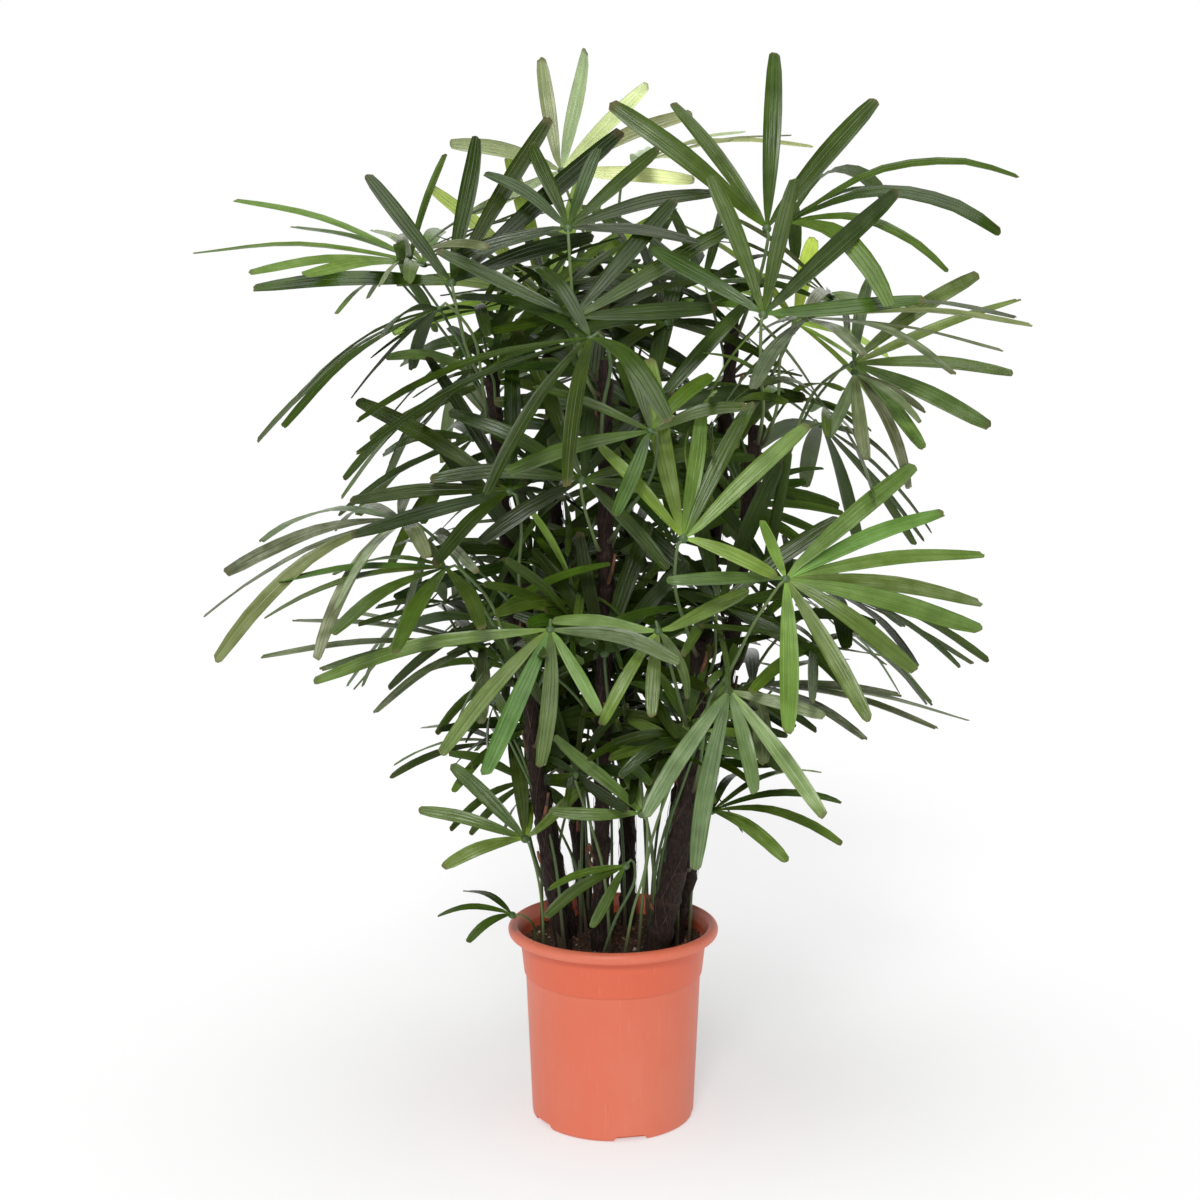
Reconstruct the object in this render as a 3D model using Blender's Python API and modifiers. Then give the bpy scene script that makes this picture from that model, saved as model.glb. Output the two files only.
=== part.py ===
"""Lady palm (Rhapis) in a terracotta-coloured nursery pot, in metres, +Z up.

The origin is the middle of the pot's flat underside and -Y is the plant's front.
Eight fibre-clad canes rise from the soil. Each palm frond is one node: a slender
stalk, a small hub and a fan of blunt leaflets, thin as a blade. A frond is set by its
hub, the way it is turned, and the angle and length of each leaflet. Stalks and
leaflets then grow by rule, and one that would meet a neighbour tries again with a
little more freedom.
"""
import math
import random
from collections import namedtuple

import bmesh
import bpy
from mathutils import Matrix, Vector
from mathutils.bvhtree import BVHTree

# The pot, from its flat underside to the top of its rolled rim
POT_HEIGHT = 0.225
POT_WALL = 0.002
POT_STEPS = 32
BASE_RADIUS = 0.0925
BASE_CORNER = 0.006
WALL_TOP_RADIUS = 0.0995
STEP_HEIGHT = 0.153
STEP_RISE = 0.001
INNER_STEP_RISE = 0.003
COLLAR_FOOT_RADIUS = 0.1015
COLLAR_TOP_RADIUS = 0.1060
RIM_RADIUS = 0.120
RIM_DEPTH = 0.013
RIM_INNER_RADIUS = 0.1075
RIM_TUCK = 0.002
FLOOR_THICKNESS = 0.003
FOOT_RING_WIDTH = 0.018
FOOT_RING_HEIGHT = 0.010
FOOT_RING_SLOPE = 0.002
NOTCH_COUNT = 5
NOTCH_START = -78
NOTCH_WIDTH = 0.040
NOTCH_HEIGHT = 0.007
NOTCH_DEPTH = 0.013

# The soil, which fills the pot to a little below its rim
SOIL_TOP = 0.203
CLEARANCE = 0.0003

# Canes: slender, nearly upright, thicker at the foot
CANE_POINTS = 5
CANE_BOW = 0.012

# Stalks: the seat lies below and inside the hub, and the curve leaves it rising
STALK_DROP = 0.05
STALK_SLOPE = 0.75
LOWEST_SEAT = 0.15
HIGHEST_SEAT = 0.97
SEAT_REACH = 0.1
STALK_WIDTH = 0.005
STALK_ROWS = 4
STALK_SHEATH = 0.006
STALK_HANDLE = 0.30
STALK_RISE = 1.2
STALK_END = 0.9

# Hubs and leaflets, whose widths are (share of length, share of widest)
HUB_RADIUS = 0.012
HUB_END_ANGLE = 12
HUB_PLATE_WIDTH = 1.3
HUB_PLATE_REACH = 1.5
BLADE_THICKNESS = 0.002
LEAFLET_WIDTH = 0.024
LEAST_WIDTH = 0.45
FULL_WIDTH_LENGTH = 0.32
DROOPING = 0.45
DROOPING_ROWS = ((0.38, 0.92), (0.74, 1.00), (1.00, 0.50))
STRAIGHT_ROWS = ((0.52, 1.00), (1.00, 0.50))
BEND_PIECES = 20
GOLDEN = 0.618
SIDE_SHORTENING = 0.25
LENGTH_UNEVENNESS = 0.20
ANGLE_UNEVENNESS = 9
ROOT_SHARE = 0.4

# How far a stalk or leaflet may stray to keep clear of its neighbours
FREE_GAP = 0.0008
GROWING_TRIES = 90
STALK_STRAY = 0.05
STALK_TURN = 1.2
SHOOT_STRAY = 0.2
LEAFLET_SWING = math.radians(16)
LEAFLET_LIFT = (0.08, 0.45)
LEAFLET_DROOP = (0.15, 0.65)
LEAFLET_CUT = 0.4
SEED = 7

Cane = namedtuple("Cane", "foot top foot_radius top_radius")
CANES = {
    "left": Cane((-0.050, 0.018), (-0.135, 0.005, 0.86), 0.0095, 0.0065),
    "back_left": Cane((-0.030, 0.055), (-0.075, 0.120, 0.90), 0.0090, 0.0065),
    "back": Cane((0.018, 0.060), (0.015, 0.140, 0.96), 0.0090, 0.0065),
    "back_right": Cane((0.050, 0.036), (0.135, 0.060, 0.91), 0.0095, 0.0065),
    "right": Cane((0.068, -0.004), (0.155, -0.020, 0.79), 0.0090, 0.0065),
    "front_right": Cane((0.046, -0.048), (0.092, -0.080, 0.56), 0.0140, 0.0080),
    "front": Cane((-0.016, -0.030), (-0.010, -0.055, 0.86), 0.0085, 0.0065),
    "front_left": Cane((-0.055, -0.030), (-0.095, -0.055, 0.62), 0.0080, 0.0060),
}


def even(count, spread, length):
    """Leaflets (angle, length) of a regular fan, its outer ones shorter."""
    leaflets = []
    for i in range(count):
        off_middle = (2 * i + 1) / count - 1
        uneven = (i * GOLDEN) % 1 - 0.5
        share = 1 - SIDE_SHORTENING * off_middle ** 2 + LENGTH_UNEVENNESS * uneven
        leaflets.append((off_middle * spread / 2 + ANGLE_UNEVENNESS * uneven, length * share))
    return tuple(leaflets)


# One row a frond: hub, aim, side it faces, droop, and leaflets by angle from the aim in
# degrees, clockwise, and length. Aim and face are plain directions of any length.
Frond = namedtuple("Frond", "hub aim face droop leaflets")
FRONDS = {
    "left": [
        Frond((-0.174, -0.030, 0.943), (0.00, 0.40, 0.90), (0.00, -0.90, 0.45), 0.2,
              ((-85, 0.205), (-33, 0.160), (6, 0.187), (26, 0.215), (43, 0.245), (65, 0.150))),
        Frond((-0.185, -0.080, 0.915), (-0.85, 0.00, -0.40), (-0.40, 0.00, 0.90), 0.5, even(7, 170, 0.215)),
        Frond((-0.212, 0.060, 0.966), (-1.00, 0.00, 0.30), (0.25, -0.35, 0.95), 0.3, even(8, 200, 0.225)),
        Frond((-0.130, 0.110, 0.880), (-0.30, 0.60, 0.70), (-0.60, -0.50, 0.60), 0.4, even(8, 240, 0.180)),
        Frond((-0.160, 0.090, 0.770), (-0.60, 0.60, 0.20), (-0.50, -0.30, 0.80), 0.4, even(9, 250, 0.190)),
        Frond((-0.090, 0.000, 0.640), (-0.20, 0.10, 0.90), (0.00, -0.90, 0.40), 0.3, even(9, 270, 0.165)),
    ],
    "back_left": [
        Frond((-0.078, 0.120, 0.925), (-0.20, 0.30, 0.90), (0.10, -0.90, 0.40), 0.3, even(9, 260, 0.185)),
        Frond((-0.190, 0.220, 0.830), (-0.60, 0.70, 0.10), (-0.60, 0.10, 0.80), 0.6, even(8, 230, 0.200)),
        Frond((-0.020, 0.240, 0.760), (-0.10, 0.80, 0.70), (0.00, -0.70, 0.70), 0.6, even(9, 250, 0.200)),
        Frond((-0.190, 0.170, 0.600), (-0.80, 0.60, 0.00), (-0.60, 0.10, 0.80), 0.6, even(8, 230, 0.190)),
        Frond((-0.060, 0.210, 0.540), (-0.20, 0.80, 0.60), (0.00, -0.60, 0.80), 0.6, even(8, 240, 0.180)),
    ],
    "back": [
        Frond((-0.059, 0.120, 1.072), (0.00, 0.10, 0.95), (0.00, -1.00, 0.15), 0.2,
              ((-112, 0.10), (-72, 0.12), (-9, 0.126), (10, 0.135), (44, 0.125), (62, 0.150), (88, 0.140))),
        Frond((0.025, 0.200, 1.085), (1.00, 0.10, 0.45), (-0.40, -0.10, 1.00), 0.4, even(7, 200, 0.190)),
        Frond((0.020, 0.280, 0.960), (0.10, 1.00, 0.20), (0.00, -0.10, 1.00), 0.5, even(8, 230, 0.210)),
        Frond((0.090, 0.240, 0.690), (0.30, 0.80, 0.60), (0.00, -0.60, 0.80), 0.6, even(9, 250, 0.195)),
        Frond((0.090, 0.190, 0.470), (0.30, 0.90, 0.40), (0.00, -0.40, 0.90), 0.6, even(8, 230, 0.175)),
    ],
    "back_right": [
        Frond((0.165, -0.010, 1.001), (0.00, 0.30, 0.95), (0.00, -0.95, 0.30), 0.2,
              ((-48, 0.205), (-33, 0.168), (3, 0.186), (36, 0.188))),
        Frond((0.192, 0.030, 1.010), (0.90, 0.00, 0.60), (-0.50, -0.40, 0.75), 1.2, even(7, 150, 0.235)),
        Frond((0.210, 0.110, 0.900), (0.40, 0.60, 0.60), (0.50, -0.50, 0.70), 0.4, even(8, 230, 0.190)),
        Frond((0.250, 0.200, 0.780), (0.80, 0.60, -0.20), (0.65, 0.20, 0.75), 0.5, even(8, 230, 0.200)),
        Frond((0.250, 0.150, 0.560), (0.80, 0.40, -0.20), (0.60, 0.00, 0.80), 0.4, even(8, 220, 0.180)),
        Frond((0.035, -0.010, 0.800), (0.20, 0.20, 0.95), (0.00, -0.90, 0.40), 0.3, even(9, 270, 0.170)),
    ],
    "right": [
        Frond((0.153, -0.120, 0.908), (0.00, 0.40, 0.90), (0.00, -0.90, 0.45), 0.1,
              ((-52, 0.130), (-17, 0.160), (13, 0.150), (43, 0.200), (80, 0.160))),
        Frond((0.205, -0.050, 0.905), (1.00, -0.10, 0.15), (-0.10, -0.15, 1.00), 0.3, even(9, 230, 0.225)),
        Frond((0.270, 0.060, 0.855), (0.00, 0.60, 0.75), (-0.20, -0.75, 0.60), 0.2,
              ((12, 0.110), (42, 0.215), (68, 0.190), (98, 0.165), (120, 0.160), (150, 0.130))),
        Frond((0.262, -0.020, 0.847), (0.00, 0.50, 0.75), (0.20, -0.75, 0.50), 0.2,
              ((112, 0.075), (133, 0.085), (153, 0.128), (177, 0.095), (202, 0.075))),
        Frond((0.245, 0.040, 0.600), (1.00, 0.10, 0.00), (0.30, -0.05, 1.00), 0.4, even(8, 220, 0.185)),
        Frond((0.155, 0.000, 0.500), (1.00, -0.05, 0.00), (0.00, -0.10, 1.00), 0.2, even(7, 200, 0.215)),
    ],
    "front_right": [
        Frond((0.070, -0.170, 0.682), (0.00, 0.30, 0.95), (0.00, -0.95, 0.30), 0.1,
              ((-40, 0.120), (-10, 0.205), (8, 0.130), (26, 0.150), (45, 0.166), (112, 0.090))),
        Frond((0.176, -0.160, 0.639), (0.00, 0.50, 0.85), (0.10, -0.85, 0.50), 0.2,
              ((-90, 0.115), (-18, 0.060), (43, 0.200), (57, 0.197), (71, 0.225), (85, 0.210),
               (98, 0.195), (121, 0.150), (152, 0.158), (183, 0.160))),
        Frond((0.115, -0.060, 0.600), (0.30, 0.10, 0.95), (-0.20, -0.90, 0.40), 0.2, even(7, 220, 0.150)),
        Frond((0.118, -0.170, 0.525), (0.00, 0.50, 0.85), (0.10, -0.80, 0.50), 0.3,
              ((102, 0.090), (142, 0.150), (167, 0.100), (193, 0.185), (215, 0.150))),
        Frond((0.107, -0.070, 0.372), (1.00, 0.00, 0.40), (-0.30, -0.15, 1.00), 0.6, even(5, 140, 0.140)),
        Frond((0.045, -0.160, 0.585), (0.00, 0.50, 0.85), (0.00, -0.85, 0.50), 0.3,
              ((-75, 0.100), (55, 0.100), (160, 0.070), (185, 0.080), (212, 0.105))),
    ],
    "front": [
        Frond((-0.049, -0.040, 1.000), (0.00, 0.40, 0.90), (0.00, -0.85, 0.50), 0.2,
              ((-100, 0.120), (-47, 0.105), (-18, 0.118), (16, 0.100), (44, 0.122), (66, 0.158), (95, 0.130))),
        Frond((-0.025, -0.140, 0.885), (-0.90, -0.30, 0.15), (-0.20, -0.30, 0.90), 0.5, even(8, 220, 0.245)),
        Frond((0.037, -0.140, 0.790), (0.00, 0.40, 0.90), (0.10, -0.70, 0.70), 0.3,
              ((-158, 0.100), (-108, 0.150), (-62, 0.120), (-10, 0.110), (35, 0.110), (80, 0.100))),
        Frond((-0.041, -0.080, 0.905), (0.00, 0.40, 0.90), (-0.05, -0.90, 0.40), 0.1,
              ((-83, 0.174), (-61, 0.152), (-20, 0.108), (38, 0.160), (56, 0.187), (82, 0.137))),
        Frond((-0.034, -0.082, 0.735), (0.10, 0.20, 0.95), (0.00, -0.90, 0.40), 0.3, even(9, 270, 0.165)),
        Frond((-0.010, -0.080, 0.548), (0.05, 0.15, 0.95), (0.00, -0.95, 0.20), 0.1, even(6, 150, 0.130)),
    ],
    "front_left": [
        Frond((-0.230, -0.060, 0.690), (-0.90, -0.20, 0.15), (-0.10, -0.30, 0.95), 0.7, even(9, 220, 0.225)),
        Frond((-0.174, -0.150, 0.650), (-0.90, -0.40, 0.20), (0.00, -0.25, 1.00), 0.4, even(7, 200, 0.170)),
        Frond((-0.111, -0.080, 0.723), (-0.60, 0.20, 0.75), (0.20, -0.75, 0.60), 0.2, even(8, 220, 0.180)),
        Frond((-0.149, 0.030, 0.540), (-1.00, 0.00, 0.30), (0.10, -0.15, 1.00), 0.2, even(8, 210, 0.220)),
        Frond((-0.066, -0.180, 0.590), (0.00, 0.60, 0.70), (0.00, -0.75, 0.65), 0.4,
              ((97, 0.125), (150, 0.100), (183, 0.148), (203, 0.160), (220, 0.165), (267, 0.235))),
        Frond((-0.129, 0.060, 0.420), (-0.80, 0.40, 0.20), (0.00, -0.10, 1.00), 0.5, even(6, 200, 0.130)),
    ],
    "shoot": [
        Frond((-0.097, -0.070, 0.341), (-0.18, -0.20, 0.90), (0.10, -0.75, 0.65), 0.3, even(6, 180, 0.115)),
        Frond((-0.112, -0.060, 0.252), (-0.80, -0.20, 0.50), (0.20, -0.40, 0.90), 0.3, even(3, 120, 0.070)),
        Frond((0.030, -0.105, 0.378), (-0.45, 0.00, 0.85), (0.00, -0.90, 0.40), 0.1, even(4, 140, 0.115)),
        Frond((0.012, -0.110, 0.322), (-0.80, -0.40, -0.30), (-0.20, -0.60, 0.80), 0.2, even(3, 80, 0.090)),
    ],
}
SHOOT_FEET = ((-0.078, -0.045), (-0.088, -0.020), (0.012, -0.078), (-0.012, -0.082))


def clear_scene():
    for old in list(bpy.data.objects):
        bpy.data.objects.remove(old, do_unlink=True)


def plain_material(name, colour, roughness):
    material = bpy.data.materials.new(name)
    material.use_nodes = True
    shader = material.node_tree.nodes["Principled BSDF"]
    shader.inputs["Base Color"].default_value = (*colour, 1.0)
    shader.inputs["Roughness"].default_value = roughness
    shader.inputs["Metallic"].default_value = 0.0
    return material


def add_object(name, data, material, collection):
    new = bpy.data.objects.new(name, data)
    new.data.materials.append(material)
    collection.objects.link(new)
    return new


def add_modifier(target, kind, **settings):
    modifier = target.modifiers.new(kind.title(), kind)
    for key, value in settings.items():
        setattr(modifier, key, value)
    return modifier


def turned(name, profile, material, collection):
    """Turn a profile of (radius, height), top to bottom on its outer side, about Z."""
    mesh = bpy.data.meshes.new(name)
    edges = [(i, i + 1) for i in range(len(profile) - 1)]
    mesh.from_pydata([(radius, 0.0, height) for radius, height in profile], edges, [])
    solid = add_object(name, mesh, material, collection)
    add_modifier(solid, "SCREW", steps=POT_STEPS, render_steps=POT_STEPS,
                 use_merge_vertices=True, merge_threshold=0.00001, use_smooth_shade=False)
    return solid


def arc(centre, radii, start, end, count):
    """Points on an ellipse arc of a profile, angles in degrees."""
    angles = [math.radians(start + (end - start) * i / (count - 1)) for i in range(count)]
    return [(centre[0] + radii[0] * math.cos(a), centre[1] + radii[1] * math.sin(a)) for a in angles]


def inner_wall(height):
    """Radius of the pot's inner wall below the collar."""
    slope = (WALL_TOP_RADIUS - BASE_RADIUS) / STEP_HEIGHT
    return BASE_RADIUS + slope * height - POT_WALL


def pot_profile():
    ring = inner_wall(FOOT_RING_HEIGHT) - FOOT_RING_WIDTH
    rim_middle = (RIM_INNER_RADIUS + RIM_RADIUS) / 2
    rim_radii = ((RIM_RADIUS - RIM_INNER_RADIUS) / 2, RIM_DEPTH / 2)
    inside = [
        (0.0, FLOOR_THICKNESS),
        (ring - FOOT_RING_SLOPE, FLOOR_THICKNESS),
        (ring, FOOT_RING_HEIGHT),
        (inner_wall(FOOT_RING_HEIGHT), FOOT_RING_HEIGHT),
        (inner_wall(STEP_HEIGHT), STEP_HEIGHT),
        (COLLAR_FOOT_RADIUS - POT_WALL, STEP_HEIGHT + INNER_STEP_RISE),
        (COLLAR_TOP_RADIUS - POT_WALL, POT_HEIGHT - RIM_DEPTH),
    ]
    rim = arc((rim_middle, POT_HEIGHT - RIM_DEPTH / 2), rim_radii, 170, -60, 7)
    outside = [
        (COLLAR_TOP_RADIUS, POT_HEIGHT - RIM_DEPTH - RIM_TUCK),
        (COLLAR_FOOT_RADIUS, STEP_HEIGHT + STEP_RISE),
        (WALL_TOP_RADIUS, STEP_HEIGHT - STEP_RISE),
    ]
    corner = arc((BASE_RADIUS - BASE_CORNER, BASE_CORNER), (BASE_CORNER, BASE_CORNER), 0, -90, 3)
    return inside + rim + outside + corner + [(0.0, 0.0)]


def soil_profile():
    ring = inner_wall(FOOT_RING_HEIGHT) - FOOT_RING_WIDTH
    slope = (COLLAR_TOP_RADIUS - COLLAR_FOOT_RADIUS) / (POT_HEIGHT - RIM_DEPTH - STEP_HEIGHT)
    top_radius = COLLAR_FOOT_RADIUS - POT_WALL + slope * (SOIL_TOP - STEP_HEIGHT - INNER_STEP_RISE)
    return [
        (0.0, SOIL_TOP),
        (top_radius - 2 * CLEARANCE, SOIL_TOP),
        (inner_wall(STEP_HEIGHT) - 2 * CLEARANCE, STEP_HEIGHT - CLEARANCE),
        (inner_wall(FOOT_RING_HEIGHT) - 2 * CLEARANCE, FOOT_RING_HEIGHT + CLEARANCE),
        (ring - CLEARANCE, FOOT_RING_HEIGHT + CLEARANCE),
        (ring - FOOT_RING_SLOPE - 2 * CLEARANCE, FLOOR_THICKNESS + CLEARANCE),
        (0.0, FLOOR_THICKNESS + CLEARANCE),
    ]


def cut_notches(pot, cutters):
    """Drainage notches through the pot's foot, one of them at the front."""
    mesh = bpy.data.meshes.new("notch_cutters")
    cutter = bpy.data.objects.new("notch_cutters", mesh)
    shape = bmesh.new()
    for i in range(NOTCH_COUNT):
        angle = math.radians(NOTCH_START + 360 * i / NOTCH_COUNT)
        block = bmesh.ops.create_cube(shape, size=1.0)["verts"]
        bmesh.ops.scale(shape, vec=(2 * NOTCH_DEPTH, NOTCH_WIDTH, 2 * NOTCH_HEIGHT), verts=block)
        bmesh.ops.translate(shape, vec=(BASE_RADIUS, 0.0, 0.0), verts=block)
        bmesh.ops.rotate(shape, matrix=Matrix.Rotation(angle, 3, "Z"), verts=block)
    shape.to_mesh(mesh)
    shape.free()
    cutter.hide_render = True
    cutter.display_type = "WIRE"
    cutters.objects.link(cutter)
    add_modifier(pot, "BOOLEAN", operation="DIFFERENCE", solver="EXACT", object=cutter)


def cane_axis(cane, share):
    """Point of a cane's axis, from 0 at the soil to 1 at its top; its foot is upright."""
    foot = Vector((*cane.foot, SOIL_TOP + CLEARANCE))
    top = Vector(cane.top)
    outward = Vector((top.x - foot.x, top.y - foot.y, 0.0)).normalized()
    return foot.lerp(top, share) + outward * CANE_BOW * math.sin(math.pi * share)


def add_cane(name, cane, material, collection):
    curve = bpy.data.curves.new(name, "CURVE")
    curve.dimensions = "3D"
    curve.bevel_depth = cane.foot_radius
    curve.bevel_resolution = 2
    curve.use_fill_caps = True
    spline = curve.splines.new("POLY")
    shares = [i / (CANE_POINTS - 1) for i in range(CANE_POINTS)]
    points = [cane_axis(cane, share) for share in shares]
    points.insert(1, points[0] + Vector((0.0, 0.0, 2 * cane.foot_radius)))
    shares.insert(1, 0.0)
    spline.points.add(len(points) - 1)
    for point, place, share in zip(spline.points, points, shares):
        point.co = (*place, 1.0)
        point.radius = 1.0 + share * (cane.top_radius / cane.foot_radius - 1.0)
    return add_object(name, curve, material, collection)


def surface_of(solid):
    """Search tree and corner points of an object as it is evaluated."""
    graph = bpy.context.evaluated_depsgraph_get()
    evaluated = solid.evaluated_get(graph)
    mesh = evaluated.to_mesh()
    corners = [vertex.co.copy() for vertex in mesh.vertices]
    faces = [tuple(face.vertices) for face in mesh.polygons]
    evaluated.to_mesh_clear()
    return BVHTree.FromPolygons(corners, faces), corners


Row = namedtuple("Row", "centre side up half_width half_thickness")


def slab(rows):
    """Search tree and corners of the closed strip through some rows, with a gap round it."""
    corners = []
    for row in rows:
        across = row.side * (row.half_width + FREE_GAP)
        rise = row.up * (row.half_thickness + FREE_GAP)
        corners += [row.centre - across - rise, row.centre + across - rise,
                    row.centre + across + rise, row.centre - across + rise]
    faces = [(0, 1, 2, 3)]
    last = 4 * (len(rows) - 1)
    for start in range(0, last, 4):
        for a, b in ((0, 1), (1, 2), (2, 3), (3, 0)):
            faces.append((start + a, start + b, start + b + 4, start + a + 4))
    faces.append((last, last + 1, last + 2, last + 3))
    return BVHTree.FromPolygons(corners, faces), corners


def box_round(corners):
    low = [min(corner[i] for corner in corners) for i in range(3)]
    high = [max(corner[i] for corner in corners) for i in range(3)]
    return low, high


class Space:
    """The shapes that have grown so far, each with the frond, cane or pot that owns it."""

    def __init__(self):
        self.shapes = []

    def add(self, tree, corners, owner):
        self.shapes.append((tree, *box_round(corners), owner))

    def is_free(self, tree, corners, ignored=()):
        low, high = box_round(corners)
        for other, other_low, other_high, owner in self.shapes:
            if owner in ignored:
                continue
            if any(low[i] > other_high[i] or high[i] < other_low[i] for i in range(3)):
                continue
            if tree.overlap(other):
                return False
        return True


Fan = namedtuple("Fan", "hub run side face leaflets edges")


def spread_out(frond):
    """A frond's fan about its run, which leads from the stalk through the hub.

    The stalk comes in through the widest gap between leaflets. Leaflet angles are then
    measured from the run, and each leaflet has its own chord of the hub's edge.
    """
    face = Vector(frond.face).normalized()
    aim = square_to(face, Vector(frond.aim))
    leaflets = sorted((angle % 360, length) for angle, length in frond.leaflets)
    gaps = [(leaflets[(i + 1) % len(leaflets)][0] - leaflets[i][0]) % 360 for i in range(len(leaflets))]
    widest = gaps.index(max(gaps))
    stalk_angle = leaflets[widest][0] + gaps[widest] / 2
    run = Matrix.Rotation(math.radians(180 - stalk_angle), 3, face) @ aim
    turned_leaflets = sorted(((angle - stalk_angle) % 360 - 180, length) for angle, length in leaflets)
    angles = [angle for angle, length in turned_leaflets]
    edges = [angles[0] - HUB_END_ANGLE]
    edges += [(a + b) / 2 for a, b in zip(angles, angles[1:])]
    edges.append(angles[-1] + HUB_END_ANGLE)
    return Fan(Vector(frond.hub), run, run.cross(face), face, turned_leaflets, edges)


def ray(fan, degrees):
    """Unit direction in the plane of a fan, by its angle from the run."""
    angle = math.radians(degrees)
    return fan.run * math.cos(angle) + fan.side * math.sin(angle)


def square_to(direction, vector):
    return (vector - direction * vector.dot(direction)).normalized()


def strip_rows(points, sides, half_widths, half_thickness):
    """Rows along a strip, each square to the way the strip runs there."""
    rows = []
    for i, point in enumerate(points):
        before = points[max(i - 1, 0)]
        after = points[min(i + 1, len(points) - 1)]
        run = (after - before).normalized()
        side = square_to(run, sides[i])
        rows.append(Row(point, side, side.cross(run), half_widths[i], half_thickness))
    return rows


def seat_on_cane(cane, tree, hub, turn, slide):
    """Seat of a stalk on a cane: the point reached from outside, and the face's normal."""
    top = Vector(cane.top)
    reach = (hub.xy - cane_axis(cane, 0.7).xy).length
    height = hub.z - STALK_DROP - STALK_SLOPE * reach + slide
    share = (height - SOIL_TOP) / (top.z - SOIL_TOP)
    axis = cane_axis(cane, min(max(share, LOWEST_SEAT), HIGHEST_SEAT))
    outward = Vector((hub.x - axis.x, hub.y - axis.y, 0.0)).normalized()
    outward = Matrix.Rotation(turn, 3, "Z") @ outward
    place, normal, _, _ = tree.ray_cast(axis + outward * SEAT_REACH, -outward)
    return place, normal


def stalk_rows(fan, seat, normal, stray):
    """A slender stalk from its seat to the back of the hub."""
    start = seat + normal * CLEARANCE
    sheath = start + normal * STALK_SHEATH
    end = fan.hub - fan.run * HUB_RADIUS * STALK_END
    handle = (end - sheath).length * STALK_HANDLE
    along = (end - sheath).normalized()
    first = sheath + (normal + Vector((0.0, 0.0, STALK_RISE))).normalized() * handle + stray
    second = end - (fan.run + along).normalized() * handle + stray
    points = [start]
    for i in range(STALK_ROWS):
        t = i / (STALK_ROWS - 1)
        points.append(sheath * (1 - t) ** 3 + first * 3 * t * (1 - t) ** 2
                      + second * 3 * t * t * (1 - t) + end * t ** 3)
    seat_side = normal.cross(Vector((0.0, 0.0, 1.0)))
    if seat_side.length < 0.1:
        seat_side = square_to(normal, fan.side)
    seat_side.normalize()
    if seat_side.dot(fan.side) < 0:
        seat_side.negate()
    last = len(points) - 1
    sides = [seat_side.lerp(fan.side, max(i - 1, 0) / (last - 1)) for i in range(last + 1)]
    return strip_rows(points, sides, [STALK_WIDTH / 2] * (last + 1), STALK_WIDTH / 2)


def grow_stalk(name, fan, canes, space, chance):
    """The stalk that keeps clear of everything, or None where there is no room."""
    place, number = name.rsplit("_", 1)
    for attempt in range(GROWING_TRIES):
        freedom = attempt / GROWING_TRIES
        stray = Vector([chance.gauss(0, STALK_STRAY * freedom) for _ in range(3)])
        if place in canes:
            turn = chance.gauss(0, STALK_TURN * freedom)
            slide = chance.gauss(0, STALK_STRAY * freedom)
            seat, normal = seat_on_cane(CANES[place], canes[place], fan.hub, turn, slide)
            if seat is None:
                continue
        else:
            foot = Vector((*SHOOT_FEET[int(number) - 1], SOIL_TOP))
            seat = foot + Vector((stray.x, stray.y, 0.0)) * SHOOT_STRAY
            normal = Vector((0.0, 0.0, 1.0))
        rows = stalk_rows(fan, seat, normal, stray)
        if not space.is_free(*slab(rows[1:]), ignored=(name,)):
            continue
        if space.is_free(*slab(rows[:2]), ignored=(name, place)):
            return rows
    return None


def leaflet_rows(fan, index, swing, lift, droop, length):
    """Rows of one leaflet, from its chord on the hub to its blunt tip."""
    start, end = fan.edges[index], fan.edges[index + 1]
    middle = (start + end) / 2
    half = math.radians(end - start) / 2
    root = ray(fan, middle)
    root_side = ray(fan, middle + 90)
    place = fan.hub + root * HUB_RADIUS * math.cos(half)
    root_row = Row(place.copy(), root_side, root_side.cross(root),
                   HUB_RADIUS * math.sin(half), BLADE_THICKNESS / 2)
    angle = fan.leaflets[index][0] + math.degrees(swing)
    direction = (ray(fan, angle) + fan.face * lift).normalized()
    across = ray(fan, angle + 90)
    level = Vector((direction.x, direction.y, 0.0)).length
    plan = DROOPING_ROWS if droop * level > DROOPING else STRAIGHT_ROWS
    points = [place.copy()]
    done = 0.0
    for share, _ in plan:
        while done < share - 1e-6:
            run = direction + Vector((0.0, 0.0, -droop * level * (done + 0.5 / BEND_PIECES)))
            advance = min(1 / BEND_PIECES, share - done)
            place += run.normalized() * length * advance
            done += advance
        points.append(place.copy())
    widest = LEAFLET_WIDTH * min(1.0, LEAST_WIDTH + length / FULL_WIDTH_LENGTH)
    half_widths = [root_row.half_width] + [widest / 2 * width for _, width in plan]
    sides = [root_side] + [across] * len(plan)
    return [root_row] + strip_rows(points, sides, half_widths, BLADE_THICKNESS / 2)[1:]


def trimmed(rows):
    """A leaflet's rows without its root, which its neighbours on the hub may touch."""
    first, second = rows[0], rows[1]
    start = Row(first.centre.lerp(second.centre, ROOT_SHARE),
                first.side.lerp(second.side, ROOT_SHARE).normalized(),
                first.up.lerp(second.up, ROOT_SHARE).normalized(),
                first.half_width + ROOT_SHARE * (second.half_width - first.half_width),
                first.half_thickness)
    return [start] + rows[1:]


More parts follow.
